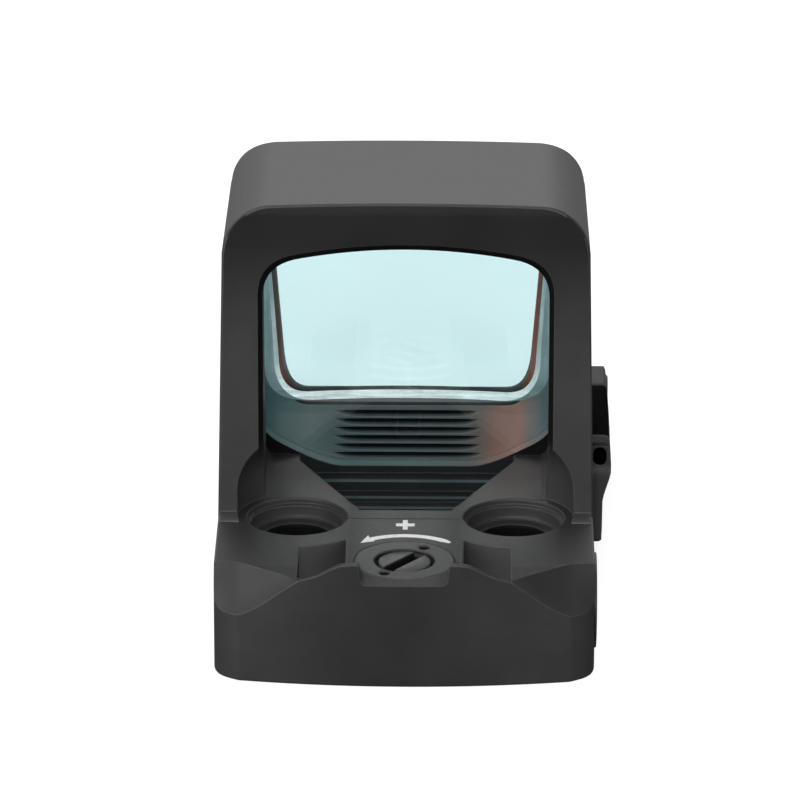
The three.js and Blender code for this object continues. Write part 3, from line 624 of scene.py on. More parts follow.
def housing_body():
    """Base block with raised rear wall, hood and ramp seat."""
    outline = base_outline()
    body = stack([(z, inset(outline, distance)) for z, distance in BASE_LEVELS])
    raised = sorted([p for p in outline if p[1] < -8.0], key=lambda p: p[0])
    body = join(body, plan(raised + [(12.6, -7.4), (-12.6, -7.4)], DECK - 1, DECK + 1.6))
    body = cut(body, rear_top_cutter())
    step = [(14, 6), (14, 10.2), (HOOD_FRONT_Y, 10.2), (21.4, DECK), (21.4, 6)]
    body = join(body, hood_solid(), along(step, -HALF_W, HALF_W))
    for side in (1, -1):
        x0, x1 = sorted((side * 10.6, side * 12.78))
        body = join(body, along(HOOD_FOOT, x0, x1))
    end = RAMP_END + 0.05
    ramp_space = [(16.92, 14), (16.92, 5.2), (end, 5.2), (end, ramp_z(end)), (33, ramp_z(33)),
                  (33, 14)]
    return cut(body, along(ramp_space, -9.6, 9.6))


def opening_chamfer():
    """Broken edge round the rear opening, following the hood's lean."""
    keep = next(i for i, p in enumerate(OPENING) if p[1] > DECK + 0.6)
    rings = []
    for growth, offset in ((0.64, -0.44), (0.0, 0.46)):
        outline = full(grown(OPENING, growth, 1.45)[keep:])
        rings.append([(x, interpolate(HOOD_BACK, z) + offset, z) for x, z in outline])
    return ring_loft(rings)


def upper_tools():
    """Notch, pockets, wells and lens opening."""
    notch = [(-NOTCH[0][0], DECK)] + NOTCH + [(-x, z) for x, z in reversed(NOTCH[1:])]
    tools = [across(notch, -14, -9.2)]
    for side in (1, -1):
        # pocket behind the well, between the wall and an arc round the well
        pocket = [(4.0, -11.45), (5.0, -11.42), (6.0, -11.33), (7.2, -11.2)]
        pocket += arc(WELL_X, 0, POCKET_R, -92.8, -129.5, 20)
        tools.append(plan([(side * x, y) for x, y in pocket][::side], 4.9, 12))
        centre = (WELL_X * side, 0, 0)
        tools.append(turned(WELL_PROFILE, 96, "z", centre))
        dome = [(0, DECK), (ARCH_R, DECK)] + arc(0, ARCH_Z, ARCH_R, 0, 84, 14)
        dome.append((0, ARCH_Z + ARCH_R))
        tools.append(turned(dome, 96, "z", centre))
    flare = [(x * (1 + 0.036 * max(0.0, min(1.0, (z - DECK) / 1.5))), z) for x, z in OPENING]
    tools.append(stack([(-2, full(OPENING)), (0.5, full(OPENING)),
                        (LENS_Y + 0.1, full(flare))], "XZ"))
    tools.append(opening_chamfer())
    tools.append(across(full(grown(LENS, 0.06)), LENS_Y - 0.05, 20))
    # slot under the foot of the cover
    tools.append(along([(15.9, 8.0), (15.9, 6.7), (17.0, 6.7), (17.0, 12), (15.9, 12)],
                       -9.6, 9.6))
    return tools


def lower_tools():
    """Stepped recess, adjuster bores, underside cavities, drawer and button openings."""
    recess = stack([(3, RECESS), (DECK - 0.09, RECESS), (DECK + 0.02, RECESS_TOP),
                    (9, RECESS_TOP)])
    tools = [
        meet(recess, along(RECESS_STEPS, -8, 8)),
        turned(ELEV_BORE, 96, "z", (0, ELEV_Y, 0)),
        turned(WIND_BORE, 96, "x", (0, WIND_Y, WIND_Z)),
        rod(0.7, -6.2, -3.3, 24, "x", (0, -5.55, 3.8)),
        # cavity on the centre line, its shallow upper part and a counterbored hole ahead of it
        box(-3.5, 3.5, -9.6, 0.9, -1, 5.4),
        box(-2.8, 2.8, -2.5, 0.9, 5, 6.6),
        turned([(0, -0.2), (1.0, -0.2), (1.0, 0.0), (1.32, 0.0), (1.32, 0.6), (0, 0.6)],
               48, "y", (0, 0.95, 5.2)),
        # wide cavity and the two passages that open from it
        box(-7.8, 7.8, 4.2, 10.0, -1, 2.4),
        box(-3.5, 3.5, 0.5, 4.5, -1, 2.4),
        box(-2.0, 2.0, 9.6, 13.3, 1.15, 2.1),
        # seat of the underside plate
        plan(plate_outline(0), -1, 0.8),
        plan(plate_outline(-0.3), -1, 1.08),
    ]
    tools += [rod(0.62, 0, 3.0, 20, "z", (x, y, 0)) for x, y in PLATE_SCREWS]
    tools += [
        # drawer bay, its mouth and the hole of the lock screw
        box(-9.0, 13.5, 12.9, 29.9, 0.95, 4.9),
        along(round_rect(12.6, 30.2, 0.62, 5.28, 0.8, 6), 11.4, 13.5),
        rod(0.74, 10.4, 13.5, 24, "x", (0, LOCK_Y, LOCK_Z)),
        # button bay
        along(round_rect(13.9, 28.1, 1.3, 6.5, 2.4, 12), -14, -10.1),
    ]
    return tools


def build_housing():
    body = cut(housing_body(), *upper_tools())
    return cut(body, *lower_tools())


# ---------------------------------------------------------------- front cover
def groove(index):
    """Ball-end groove along x that runs out at both ends."""
    z = 6.93 + index * 0.635
    half_length = 5.24 - index * 0.035
    stations = []
    for k in range(-14, 15):
        u = k / 14
        edge = max(0.0, 1 - abs(u) ** 8)
        depth = 0.05 + 0.5 * edge
        below, above = 0.04 + 0.26 * edge, 0.03 + 0.19 * edge
        mid = z + 0.16 * abs(u) ** 10
        stations.append((half_length * u, [
            (12.7, mid - below), (COVER_Y, mid - below),
            (COVER_Y + 0.30 * depth, mid - 0.45 * below), (COVER_Y + 0.7 * depth, mid),
            (COVER_Y + depth, mid + 0.55 * above), (COVER_Y + depth, mid + 0.95 * above),
            (COVER_Y, mid + above), (12.7, mid + above)]))
    return stack(stations, "YZ")


def ramp_outline():
    """(y, z) of the ramp, with eight flat-bottomed grooves cut across it."""
    ramp = [(16.0, 6.85), (17.2, 6.85), (17.2, 5.28), (RAMP_END, 5.28),
            (RAMP_END, ramp_z(RAMP_END))]
    for i in range(7, -1, -1):
        y = 18.2 + i * 1.2
        for offset, depth in ((0.55, 0), (0.42, 0.26), (0.13, 0.26), (0, 0)):
            ramp.append((y + offset, ramp_z(y + offset) - depth))
    return ramp + [(16.0, ramp_z(16.0))]


def build_cover():
    cover = across(full(LENS), COVER_Y, 16.85)
    lean = [(12, 5), (16.8, 5), (16.8, 9.6), (15.25, 29.5), (12, 29.5)]
    cover = meet(cover, along(lean, -14, 14))
    # thin lip that reaches back round the front element
    lip = across(full(LENS), LENS_Y + LENS_T + 0.012, COVER_Y + 0.2)
    cover = join(cover, cut(lip, across(full(grown(LENS, -0.14)), 12, 14)))
    cover = join(cover, along(ramp_outline(), -RAMP_HALF_W, RAMP_HALF_W))
    return cut(cover, across(full(APERTURE), 12, 18),
               across(full(grown(FRONT_LENS, 0.012)), 12, 14.0),
               *[groove(i) for i in range(6)])


# ---------------------------------------------------------------- small parts
def adjuster_disc(radius, proud):
    """Retaining disc with two spanner holes."""
    top = DISC_T + proud
    disc = turned([(1.86, 0), (radius, 0), (radius, top - 0.07), (radius - 0.02, top - 0.03),
                   (radius - 0.07, top), (2.12, top), (2.05, top - 0.05), (2.03, top - 0.3),
                   (1.86, top - 0.42), (1.86, 0)], 128)
    hole = [(0, 0.12), (0.37, 0.12), (0.37, top - 0.05), (0.43, top + 0.02), (0.43, top + 1),
            (0, top + 1)]
    for degrees in (60, 240):
        angle = math.radians(degrees)
        at = (2.66 * math.cos(angle), 2.66 * math.sin(angle), 0)
        disc = cut(disc, turned(hole, 32, "z", at))
    return disc


def adjuster_screw(stem, slot_degrees):
    """Slotted adjuster; stem is its (radius, height) profile below the head's rim."""
    head = [(SCREW_R, -0.12), (SCREW_R - 0.04, -0.04), (SCREW_R - 0.12, 0), (0, 0)]
    screw = turned(stem + head, 96)
    angle = math.radians(slot_degrees)
    c, s = math.cos(angle), math.sin(angle)
    half_l, half_w = 3, 0.48
    corners = [(-half_l, -half_w), (half_l, -half_w), (half_l, half_w), (-half_l, half_w)]
    return cut(screw, plan([(x * c - y * s, x * s + y * c) for x, y in corners], -0.75, 1))


def cross_screw(profile, half_l, half_w, z0, z1, segments):
    """Screw with a cross slot between z0 and z1."""
    screw = turned(profile, segments)
    screw = cut(screw, box(-half_l, half_l, -half_w, half_w, z0, z1))
    return cut(screw, box(-half_w, half_w, -half_l, half_l, z0, z1))


# (x, z) of the drawer's flange
FLANGE = [
    (DRAWER_X, 0.5), (13.35, 0.5), (13.6, 0.58), (13.82, 0.8), (13.82, 1.1), (13.84, 1.5),
    (13.86, 3.7), (13.96, 4.2), (14.11, 4.7), (14.33, 5.4), (14.43, 5.85), (14.44, 6.3),
    (14.38, 7.0), (14.34, 7.25), (14.2, 7.4), (14.0, 7.46), (DRAWER_X, 7.46)]
# (y, z) along its dished top
FLANGE_TOP = [
    (12.2, 8.16), (13.5, 8.16), (14.0, 8.08), (14.6, 7.84), (15.2, 7.68), (16, 7.62),
    (20, 7.54), (24, 7.46), (25.6, 7.44), (26.4, 7.52), (27.2, 7.62), (29.2, 7.62), (30.5, 7.6)]
# (y, growth in x) of its sections
FLANGE_SECTIONS = [
    (12.2, -0.10), (12.26, -0.03), (12.4, 0.0), (13.5, 0.0), (14.0, 0.0), (14.6, 0.0),
    (15.2, 0.0), (16, 0.01), (20, 0.05), (24, 0.06), (25.6, 0.05), (26.4, 0.05), (27.2, 0.04),
    (29.2, 0.0), (30.0, -0.12), (30.5, -0.34)]


def build_drawer():
    sections = []
    for y, growth in FLANGE_SECTIONS:
        widen = (FLANGE_T + growth) / FLANGE_T
        lift = (interpolate(FLANGE_TOP, y) - 6) / 1.46
        sections.append((y, [(DRAWER_X + (x - DRAWER_X) * widen, z if z < 6 else 6 + (z - 6) * lift)
                             for x, z in FLANGE]))
    side_view = ([(12.2, 1.1)] + arc(12.8, 1.1, 0.6, 180, 270, 6)
                 + arc(29.3, 1.7, 1.2, -90, 0, 8) + arc(29.0, 6.12, 1.5, 0, 90, 10)
                 + [(26.5, 7.85), (14.2, 8.3)] + arc(12.48, 7.9, 0.26, 90, 180, 6))
    drawer = meet(stack(sections, "XZ"), along(side_view, 12, 15.5))
    drawer = join(drawer, along(round_rect(12.75, 30.05, 0.77, 5.13, 0.7, 6), 12.35, 13.0))
    drawer = join(drawer, along(round_rect(13.3, 29.5, 1.25, 4.65, 0.4, 4), 11.2, 12.5))
    tray = box(-8.6, 11.5, 13.0, 29.8, 1.05, 4.5)
    tray = cut(tray, rod(CELL_R + 0.1, 1.45, 6, 96, "z", (CELL_X, CELL_Y, 0)),
               box(-9, -4.5, 17.4, 25.4, 1.45, 6), box(9.2, 11.0, 15, 28, 1.45, 6))
    drawer = join(drawer, tray)
    # counterbored lock hole, and the recess in the rear end of the flange
    return cut(drawer, rod(0.74, 12, 16, 32, "x", (0, LOCK_Y, LOCK_Z)),
               rod(1.0, 13.75, 16, 40, "x", (0, LOCK_Y, LOCK_Z)),
               across(round_rect(13.14, 14.1, 6.5, 7.86, 0.46, 10), 11.8, 13.6))


# ---------------------------------------------------------------- shader helpers
class Signal:
    """An output in a shader; arithmetic on it adds Math nodes."""

    def __init__(self, graph, socket):
        self.graph = graph
        self.socket = socket

    def math(self, operation, *operands):
        return self.graph.add("Math", dict(enumerate(operands)), operation=operation)

    def __add__(self, other):
        return self.math("ADD", self, other)

    def __sub__(self, other):
        return self.math("SUBTRACT", self, other)

    def __rsub__(self, other):
        return self.math("SUBTRACT", other, self)

    def __mul__(self, other):
        return self.math("MULTIPLY", self, other)

    def __truediv__(self, other):
        return self.math("DIVIDE", self, other)

    def __pow__(self, other):
        return self.math("POWER", self, other)

    def __abs__(self):
        return self.math("ABSOLUTE", self)

    def sqrt(self):
        return self.math("SQRT", self)

    def max(self, other):
        return self.math("MAXIMUM", self, other)

    def above(self, limit):
        return self.math("GREATER_THAN", self, limit)

    def below(self, limit):
        return self.math("LESS_THAN", self, limit)

    def between(self, low, high):
        return self.above(low) * self.below(high)

    def clamp(self):
        """Limits the Math node behind this signal to 0..1."""
        self.socket.node.use_clamp = True
        return self

    def fade_in(self, start, length):
        """0 up to start, then rising to 1 over length."""
        return ((self - start) / length).clamp()

    def bell(self):
        return (self * self * -1.0).math("EXPONENT", self.graph.last)


class Graph:
    """The node tree of a material or world."""

    def __init__(self, owner):
        self.owner = owner
        owner.use_nodes = True
        self.tree = owner.node_tree
        self.tree.nodes.clear()
        self.last = None

    def feed(self, source, socket):
        """Links a signal to an input, or sets the input to a number, vector or colour."""
        if isinstance(source, Signal):
            self.tree.links.new(source.socket, socket)
        elif socket.type == "RGBA":
            socket.default_value = (*source, 1)
        else:
            socket.default_value = source

    def add(self, kind, inputs=None, output=0, **settings):
        """Adds a node and returns one of its outputs."""
        node = self.tree.nodes.new("ShaderNode" + kind)
        for key, setting in settings.items():
            setattr(node, key, setting)
        for key, source in (inputs or {}).items():
            self.feed(source, node.inputs[key])
        self.last = Signal(self, node.outputs[output])
        return self.last

    def close(self, shader, kind="OutputMaterial"):
        """Feeds the shader to the output and returns the finished owner."""
        node = self.tree.nodes.new("ShaderNode" + kind)
        self.feed(shader, node.inputs[0])
        return self.owner

    def constant(self, number):
        signal = self.add("Value")
        signal.socket.default_value = number
        return signal

    def split(self, vector):
        x = self.add("SeparateXYZ", {0: vector})
        return [Signal(self, socket) for socket in x.socket.node.outputs]

    def position(self):
        """x, y and z in object space, in metres."""
        return self.split(self.add("TexCoord", output="Object"))

    def facing(self):
        """x, y and z of the true normal."""
        return self.split(self.add("NewGeometry", output="True Normal"))

    def noise(self, scale, detail=3, rough=0.55, stretch=None):
        vector = self.add("TexCoord", output="Object")
        if stretch:
            vector = self.add("Mapping", {"Scale": stretch, "Vector": vector})
        return self.add("TexNoise", {"Scale": scale, "Detail": detail, "Roughness": rough,
                                     "Vector": vector}, output="Fac")

    def ramp(self, factor, stops):
        """Colour ramp through (position, colour) stops."""
        signal = self.add("ValToRGB", {0: factor})
        elements = signal.socket.node.color_ramp.elements
        while len(elements) > 1:
            elements.remove(elements[-1])
        elements[0].position = stops[0][0]
        elements[0].color = (*stops[0][1], 1)
        for position, colour in stops[1:]:
            elements.new(position).color = (*colour, 1)
        return signal

    def mix(self, factor, first, second):
        return self.add("Mix", {0: factor, 6: first, 7: second}, output=2, data_type="RGBA")

    def bump(self, height, strength, distance, normal=None):
        """Bump whose distance is in mm."""
        inputs = {"Strength": strength, "Distance": distance * MM, "Height": height}
        if normal is not None:
            inputs["Normal"] = normal
        return self.add("Bump", inputs)

    def rounded_normal(self, radius):
        """Normal rounded over edges by a radius in mm."""
        return self.add("Bevel", {"Radius": radius * MM}, samples=6)


def new_graph(name):
    return Graph(bpy.data.materials.new(name))


def scaled(colour, factor):
    return tuple(c * factor for c in colour)


def stretched(line_axis, coarse, fine):
    """Noise scales that draw fine lines, one above the other on line_axis."""
    return tuple(fine if axis == line_axis else coarse for axis in "xyz")


def width_share(x):
    """0 to 1 over the 20 mm across the lens."""
    return x * (1 / (20 * MM)) + 0.5


# ---------------------------------------------------------------- local tints: painted light and shade
# colour: base colour with painted shade and painted light in it; glow, strength: emission, painted
# light;
# fourth field: where edges get neither wear nor painted highlight; matt: where the specular level
# falls, as painted shade
Tint = namedtuple("Tint", "colour glow strength unworn matt", defaults=(None, None))

# painted light: colours of the lens coating's light across the cover's rear wall, from -x to +x
COATING_LIGHT_STOPS = [
    (0.0, (0.045, 0.082, 0.086)), (0.08, (0.056, 0.093, 0.098)), (0.16, (0.080, 0.104, 0.108)),
    (0.24, (0.066, 0.083, 0.089)), (0.5, (0.070, 0.081, 0.088)), (0.68, (0.076, 0.080, 0.082)),
    (0.76, (0.105, 0.083, 0.076)), (0.82, (0.20, 0.105, 0.086)), (0.89, (0.225, 0.120, 0.102)),
    (0.935, (0.120, 0.115, 0.108)), (0.98, (0.075, 0.105, 0.110))]
# colour that painted shade darkens towards
NEAR_BLACK = (0.003, 0.003, 0.0033)
WHITE = (1.0, 1.0, 1.0)


def cover_light_and_shade(g, colour):
    """Painted coloured light from the lens coating on the cover's grooved rear wall, with painted
    shade in the grooves and the cut beyond the wall face.
    """
    x, y, _ = g.position()
    waver = (g.noise(scale=260, detail=2, rough=0.5) - 0.5) * 0.06
    coating_light = g.ramp((width_share(x) + waver).clamp(), COATING_LIGHT_STOPS)
    near = y.below(13.6 * MM)
    _, normal_y, _ = g.facing()
    face = normal_y.below(-0.45)
    lip = y.below((COVER_Y - 0.002) * MM)
    wall = near * face.max(lip)
    # the painted light fades with depth into the grooves, which are painted dark
    depth = y.fade_in(COVER_Y * MM, 0.42 * MM)
    lit = wall * (1.0 - depth * 1.9).clamp()
    # painted shade deeper than the wall face; it and the lip also get dimmed reflections
    shade = y.above((COVER_Y + 0.02) * MM) * near
    colour = g.mix(shade * 0.9, colour, (0.004, 0.005, 0.005))
    return Tint(g.mix(lit, colour, coating_light), coating_light, lit, near * 0.8, lip.max(shade) * 0.9)


def housing_light_and_shade(g, colour):
    """Painted teal light in the stepped recess, and painted shade where little light reaches."""
    x, y, z = g.position()
    _, normal_y, normal_z = g.facing()
    side = abs(x)

    # painted teal light on the stepped floor between the deck and the lens, brighter on its edges
    inside = y.between(1.4 * MM, 11.95 * MM)
    inside = inside * side.below(y * 0.466 + 2.62 * MM)
    inside = inside * (z.below(7.3 * MM) * z.above(3.0 * MM))
    strength = inside * (normal_z.between(0.2, 0.93) * 1.1 + 0.12)
    teal = g.ramp(g.noise(scale=300, detail=3),
                  [(0.3, (0.016, 0.029, 0.032)), (0.7, (0.031, 0.044, 0.048))])

    # painted shade in the bores under the well seats
    from_well = side - WELL_X * MM
    radius = (from_well * from_well + y * y).sqrt()
    bore = radius.below((HOLE_R + 0.12) * MM) * z.below(5.85 * MM)

    # painted shade on the inner walls of the lens opening
    tunnel = normal_y.above(-0.93) * side.below(10.2 * MM)
    tunnel = tunnel * z.fade_in(9.5 * MM, 3.5 * MM)
    tunnel = tunnel * (1.0 - y.fade_in(0.9 * MM, 1.6 * MM) * 0.6)
    tunnel = tunnel * normal_y.below(0.5)
    tunnel = tunnel * z.below(27.45 * MM)
    dark = bore.max(tunnel)

    # painted shade on the lens seat under the lower corners of the rear element
    seat = y.between(11.2 * MM, 11.95 * MM)
    seat = seat * normal_y.below(-0.5)
    seat = seat * side.fade_in(6.2 * MM, 1.4 * MM)
    dark = dark.max(seat)
    # edges in these shaded places get neither wear nor painted highlight
    unworn = dark.max(0.0)
    # the stepped recess is painted dark under its teal light
    dark = dark.max(inside * 0.93)

    # painted shade: the hood's rear face darkens towards the top
    hood_rise = z.fade_in(20.0 * MM, 7.0 * MM)
    dark = dark.max(hood_rise * normal_y.below(-0.9) * 0.7)

    # painted shade: the deck between and beside the wells is a little darker than the roof
    low = z.below(7.6 * MM) * normal_z.above(0.9)
    neck = (1.0 - abs(side - 3.6 * MM) / (1.9 * MM)).clamp()
    rear_strip = y.below(-9.0 * MM) * 0.16
    margin = side.fade_in(8.6 * MM, 2.0 * MM) * 0.16 + 0.16
    dark = dark.max(low * ((neck * 0.34 + rear_strip) + margin))

    # painted shade on the side scoops, the one at +x darker
    scoop = y.below(-7.4 * MM) * z.below(7.38 * MM)
    scoop = scoop * (normal_z.below(0.93) * normal_z.above(0.25))
    scoop = scoop * (x.above(0.0) * 0.26 + 0.26)
    dark = dark.max(scoop)

    # painted shade on the rear face, darkest in the middle
    rear = normal_y.below(-0.9) * y.below(-9.0 * MM)
    rear = rear * (1.0 - side / (13.0 * MM)).clamp()
    dark = dark.max(rear * 0.44)

    # painted light: curved pocket walls glow faintly, more so outwards
    pocket = radius.between(5.36 * MM, 5.54 * MM)
    pocket = pocket * (y.below(-3.6 * MM) * side.below(7.4 * MM))
    pocket = pocket * (z.below(7.38 * MM) * normal_z.below(0.5))
    pocket_glow = side.fade_in(4.2 * MM, 2.9 * MM) * 0.018 + 0.006

    # painted highlight on the broken edge along the flanks of the stepped recess
    edge = z.between(7.302 * MM, 7.402 * MM)
    edge = edge * normal_z.between(0.3, 0.93)
    edge = edge * y.between(1.1 * MM, 10.7 * MM)
    edge = edge * abs(side - (y * 0.466 + 2.56 * MM)).below(0.3 * MM)

    glow = g.mix(pocket.max(edge), teal, WHITE)
    strength = strength + pocket * pocket_glow
    strength = strength + edge * 0.2
    # painted shade darkens the colour and dims the reflections
    return Tint(g.mix(dark * 0.9, colour, NEAR_BLACK), glow, strength, unworn, dark * 0.85)


def deep_cut(axis, top, reach):
    """Painted shade: tint that falls to black within reach (mm) below top on an axis."""
    def tint(g, colour):
        depth = (((top - 0.05) * MM - g.position()[axis]) / (reach * MM)).clamp()
        dark = g.mix(depth * 0.92, colour, (0.002, 0.002, 0.0022))
        return Tint(dark, g.mix(1.0, colour, (0, 0, 0)), g.constant(0.0))
    return tint


def drawer_light_and_shade(g, colour):
    """Painted shade on the dished top of the drawer's flange and in its end recess, and painted
    light on its end face.
    """
    x, y, z = g.position()
    _, normal_y, normal_z = g.facing()
    rise = y.fade_in(13.9 * MM, 1.2 * MM)
    fall = ((27.2 * MM - y) / (1.6 * MM)).clamp()
    top = rise * fall * normal_z.above(0.3)
    top = top * z.above(6.6 * MM)
    # box round the end recess, clear of the outer skin
    recess = y.between(12.28 * MM, 13.7 * MM)
    recess = recess * (x.between(13.13 * MM, 14.105 * MM) * z.between(6.49 * MM, 7.87 * MM))
    upper = normal_z.above(0.3) * z.above(6.6 * MM)
    cap = (1.0 - rise) * 0.3 + y.below(29.3 * MM) * 0.58
    dark = (top * 1.0).max(recess.max(upper * cap))
    # painted light: the end face brightens outwards and just under the recess
    end = normal_y.below(-0.5) * y.below(12.6 * MM)
    outward = x.fade_in(13.05 * MM, 0.6 * MM)
    under = ((z - 6.15 * MM) / (0.3 * MM)).bell()
    strength = end * (outward * 0.012 + under * 0.02)
    return Tint(g.mix(dark * 0.93, colour, NEAR_BLACK), g.mix(1.0, colour, WHITE), strength,
                recess.max(top), dark)


# ---------------------------------------------------------------- materials
def anodised(name, base=(0.036, 0.0362, 0.0368), rough=0.48, lines=0.0, line_axis="z",
             spec=0.42, tint=None, glow_gain=1.0):
    """Dark metal finish with edges lightened as wear and as a painted highlight, painted light and
    shade from tint where given, and, where lines > 0, faint machining lines.
    """
    g = new_graph(name)
    cloud = g.noise(scale=160, detail=4, rough=0.6)
    grain = g.noise(scale=5200, detail=2, rough=0.6)
    speck = g.noise(scale=1500, detail=3, rough=0.7)
    colour = g.ramp(cloud, [(0.3, scaled(base, 0.86)), (0.7, scaled(base, 1.16))])
    surface = {"Specular IOR Level": spec, "IOR": 1.5}
    unworn = None
    if tint is not None:
        local = tint(g, colour)
        colour = local.colour
        unworn = local.unworn
        surface["Emission Color"] = local.glow
        surface["Emission Strength"] = local.strength * glow_gain
        # painted shade also dims the specular level
        if local.matt is not None:
            surface["Specular IOR Level"] = (1.0 - local.matt).clamp() * spec
    if lines > 0:
        streak = g.noise(scale=1.0, detail=2, rough=0.5, stretch=stretched(line_axis, 60, 6500))
        brightness = streak * (lines * 1.6) + (1.0 - lines * 0.8)
        colour = g.add("HueSaturation", {"Color": colour, "Value": brightness})

    # wear and painted edge highlight where the rounded normal leaves the true one
    rounded = g.rounded_normal(radius=0.11)
    match = g.add("VectorMath", {0: rounded, 1: g.add("NewGeometry", output="Normal")},
                  output="Value", operation="DOT_PRODUCT")
    edge = ((1.0 - match) * 2.2).clamp()
    edge_wear_and_sheen = (edge * (speck * 0.9 + 0.25)).clamp()
    if unworn is not None:
        edge_wear_and_sheen = (edge_wear_and_sheen * (1.0 - unworn)).clamp()
    bare_metal_and_sheen = tuple(c * 3.2 + 0.07 for c in base)
    surface["Base Color"] = g.mix(edge_wear_and_sheen * 0.95, colour, bare_metal_and_sheen)
    surface["Roughness"] = (cloud - 0.5) * 0.16 + rough + (grain - 0.5) * 0.10

    normal = g.bump(grain, strength=0.35, distance=0.006, normal=rounded)
    if lines > 0:
        ridge = g.noise(scale=1.0, detail=2, rough=0.5, stretch=stretched(line_axis, 8, 2600))
        normal = g.bump(ridge, strength=lines, distance=0.01, normal=normal)
    surface["Normal"] = normal
    return g.close(g.add("BsdfPrincipled", surface))


def bright_metal(name, base, rough, brushed=0.2):
    g = new_graph(name)
    mottle = g.noise(scale=900, detail=3, rough=0.6)
    brush = g.noise(scale=1.0, detail=2, rough=0.5, stretch=(3500, 40, 3500))
    return g.close(g.add("BsdfPrincipled", {
        "Base Color": g.ramp(mottle, [(0.3, scaled(base, 0.82)), (0.7, scaled(base, 1.15))]),
        "Metallic": 1.0,
        "Roughness": mottle * 0.18 + (rough - 0.09),
        "Normal": g.bump(brush, strength=brushed, distance=0.004,
                         normal=g.rounded_normal(radius=0.06)),
    }))


def rubbery(name, base=(0.016, 0.016, 0.017), rough=0.72, spec=0.35):
    g = new_graph(name)
    mottle = g.noise(scale=700, detail=4, rough=0.6)
    grain = g.noise(scale=4200, detail=2, rough=0.6)
    return g.close(g.add("BsdfPrincipled", {
        "Base Color": g.ramp(mottle, [(0.3, scaled(base, 0.8)), (0.75, scaled(base, 1.35))]),
        "Roughness": mottle * 0.2 + (rough - 0.1),
        "Specular IOR Level": spec,
        "Normal": g.bump(grain, strength=0.4, distance=0.008,
                         normal=g.rounded_normal(radius=0.12)),
    }))


def board_finish(name, base=(0.012, 0.12, 0.05)):
    """Green solder mask with a fine brick pattern."""
    g = new_graph(name)
    pattern = g.add("TexBrick", {
        "Scale": 650, "Mortar Size": 0.05, "Color1": base,
        "Color2": (base[0] * 1.3, base[1] * 1.15, base[2] * 1.2),
        "Mortar": (0.03, 0.25, 0.10),
        "Vector": g.add("TexCoord", output="Object"),
    }, output="Color")
    joints = Signal(g, pattern.socket.node.outputs["Fac"])
    return g.close(g.add("BsdfPrincipled", {
        "Base Color": pattern,
        "Roughness": g.noise(scale=1200, detail=2) * 0.2 + 0.3,
        "Normal": g.bump(joints, strength=0.3, distance=0.02),
    }))


def coated_glass(name, tint, coat, reflect=0.05):
    """Thin coated plate: tinted straight-through light and a coloured mirror film."""
    g = new_graph(name)
    smear = g.noise(scale=90, detail=4, rough=0.6)
    film = g.add("BsdfGlossy", {"Color": coat, "Roughness": smear * 0.02 + 0.005})
    share = (g.add("Fresnel", {"IOR": 1.5}) * 0.75 + (reflect - 0.03)).clamp()
    seen = g.ramp(smear, [(0.25, scaled(tint, 0.985)), (0.75, tint)])
    through = g.mix(g.add("LightPath", output="Is Camera Ray"), (0.96, 0.97, 0.97), seen)
    clear = g.add("BsdfTransparent", {"Color": through})
    return g.close(g.add("MixShader", {0: share, 1: clear, 2: film}))


def ground_glass(name, low, high, top):
    """Ground glass glowing as painted light, brighter where it faces the rear; low, high and top
    are its tones from the bottom run upwards.
    """
    g = new_graph(name)
    _, _, z = g.position()
    grit = g.noise(scale=1900, detail=4, rough=0.7)
    streak_x = g.noise(scale=1.0, detail=3, rough=0.6, stretch=(420, 900, 5200))
    streak_z = g.noise(scale=1.0, detail=3, rough=0.6, stretch=(5200, 900, 300))
    flank = z.fade_in(11.6 * MM, 2.2 * MM)
    streak = g.add("Mix", {0: flank, 2: streak_x, 3: streak_z}, data_type="FLOAT")
    tone = g.mix(flank, low, high)
    tone = g.mix(z.fade_in(14.0 * MM, 8.0 * MM), tone, top)
    strength = (streak * 1.5 + grit * 0.5 - 0.02).max(0.25)
    _, normal_y, _ = g.facing()
    strength = strength * (normal_y.below(-0.3) * 0.78 + 0.22)
    return g.close(g.add("AddShader", {
        0: g.add("Emission", {"Color": tone, "Strength": strength}),
        1: g.add("BsdfDiffuse", {"Color": (0.10, 0.12, 0.12)}),
    }))


def adhesive(name):
    """Bond line: dark along the middle, amber towards the +x side, and glowing in that colour as
    painted light.
    """
    g = new_graph(name)
    x, _, _ = g.position()
    colour = g.ramp(width_share(x).clamp(), [
        (0.0, (0.03, 0.04, 0.043)), (0.04, (0.035, 0.03, 0.03)), (0.06, (0.09, 0.032, 0.022)),
        (0.085, (0.05, 0.02, 0.016)), (0.12, (0.008, 0.012, 0.014)),
        (0.85, (0.008, 0.013, 0.016)), (0.90, (0.03, 0.02, 0.018)),
        (0.925, (0.13, 0.045, 0.026)), (0.95, (0.16, 0.055, 0.034)),
        (0.975, (0.11, 0.05, 0.04)), (1.0, (0.10, 0.07, 0.06))])
    mottle = g.noise(scale=1500, detail=3, rough=0.6)
    return g.close(g.add("BsdfPrincipled", {
        "Base Color": colour,
        "Roughness": mottle * 0.2 + 0.25,
        "Emission Color": colour,
        "Emission Strength": mottle * 1.0,
    }))


def marking_paint(name, base=(0.93, 0.93, 0.92)):
    g = new_graph(name)
    mottle = g.noise(scale=2400, detail=3, rough=0.7)
    return g.close(g.add("BsdfPrincipled", {
        "Base Color": g.ramp(mottle, [(0.25, scaled(base, 0.75)), (0.5, base)]),
        "Roughness": mottle * 0.2 + 0.5,
    }))


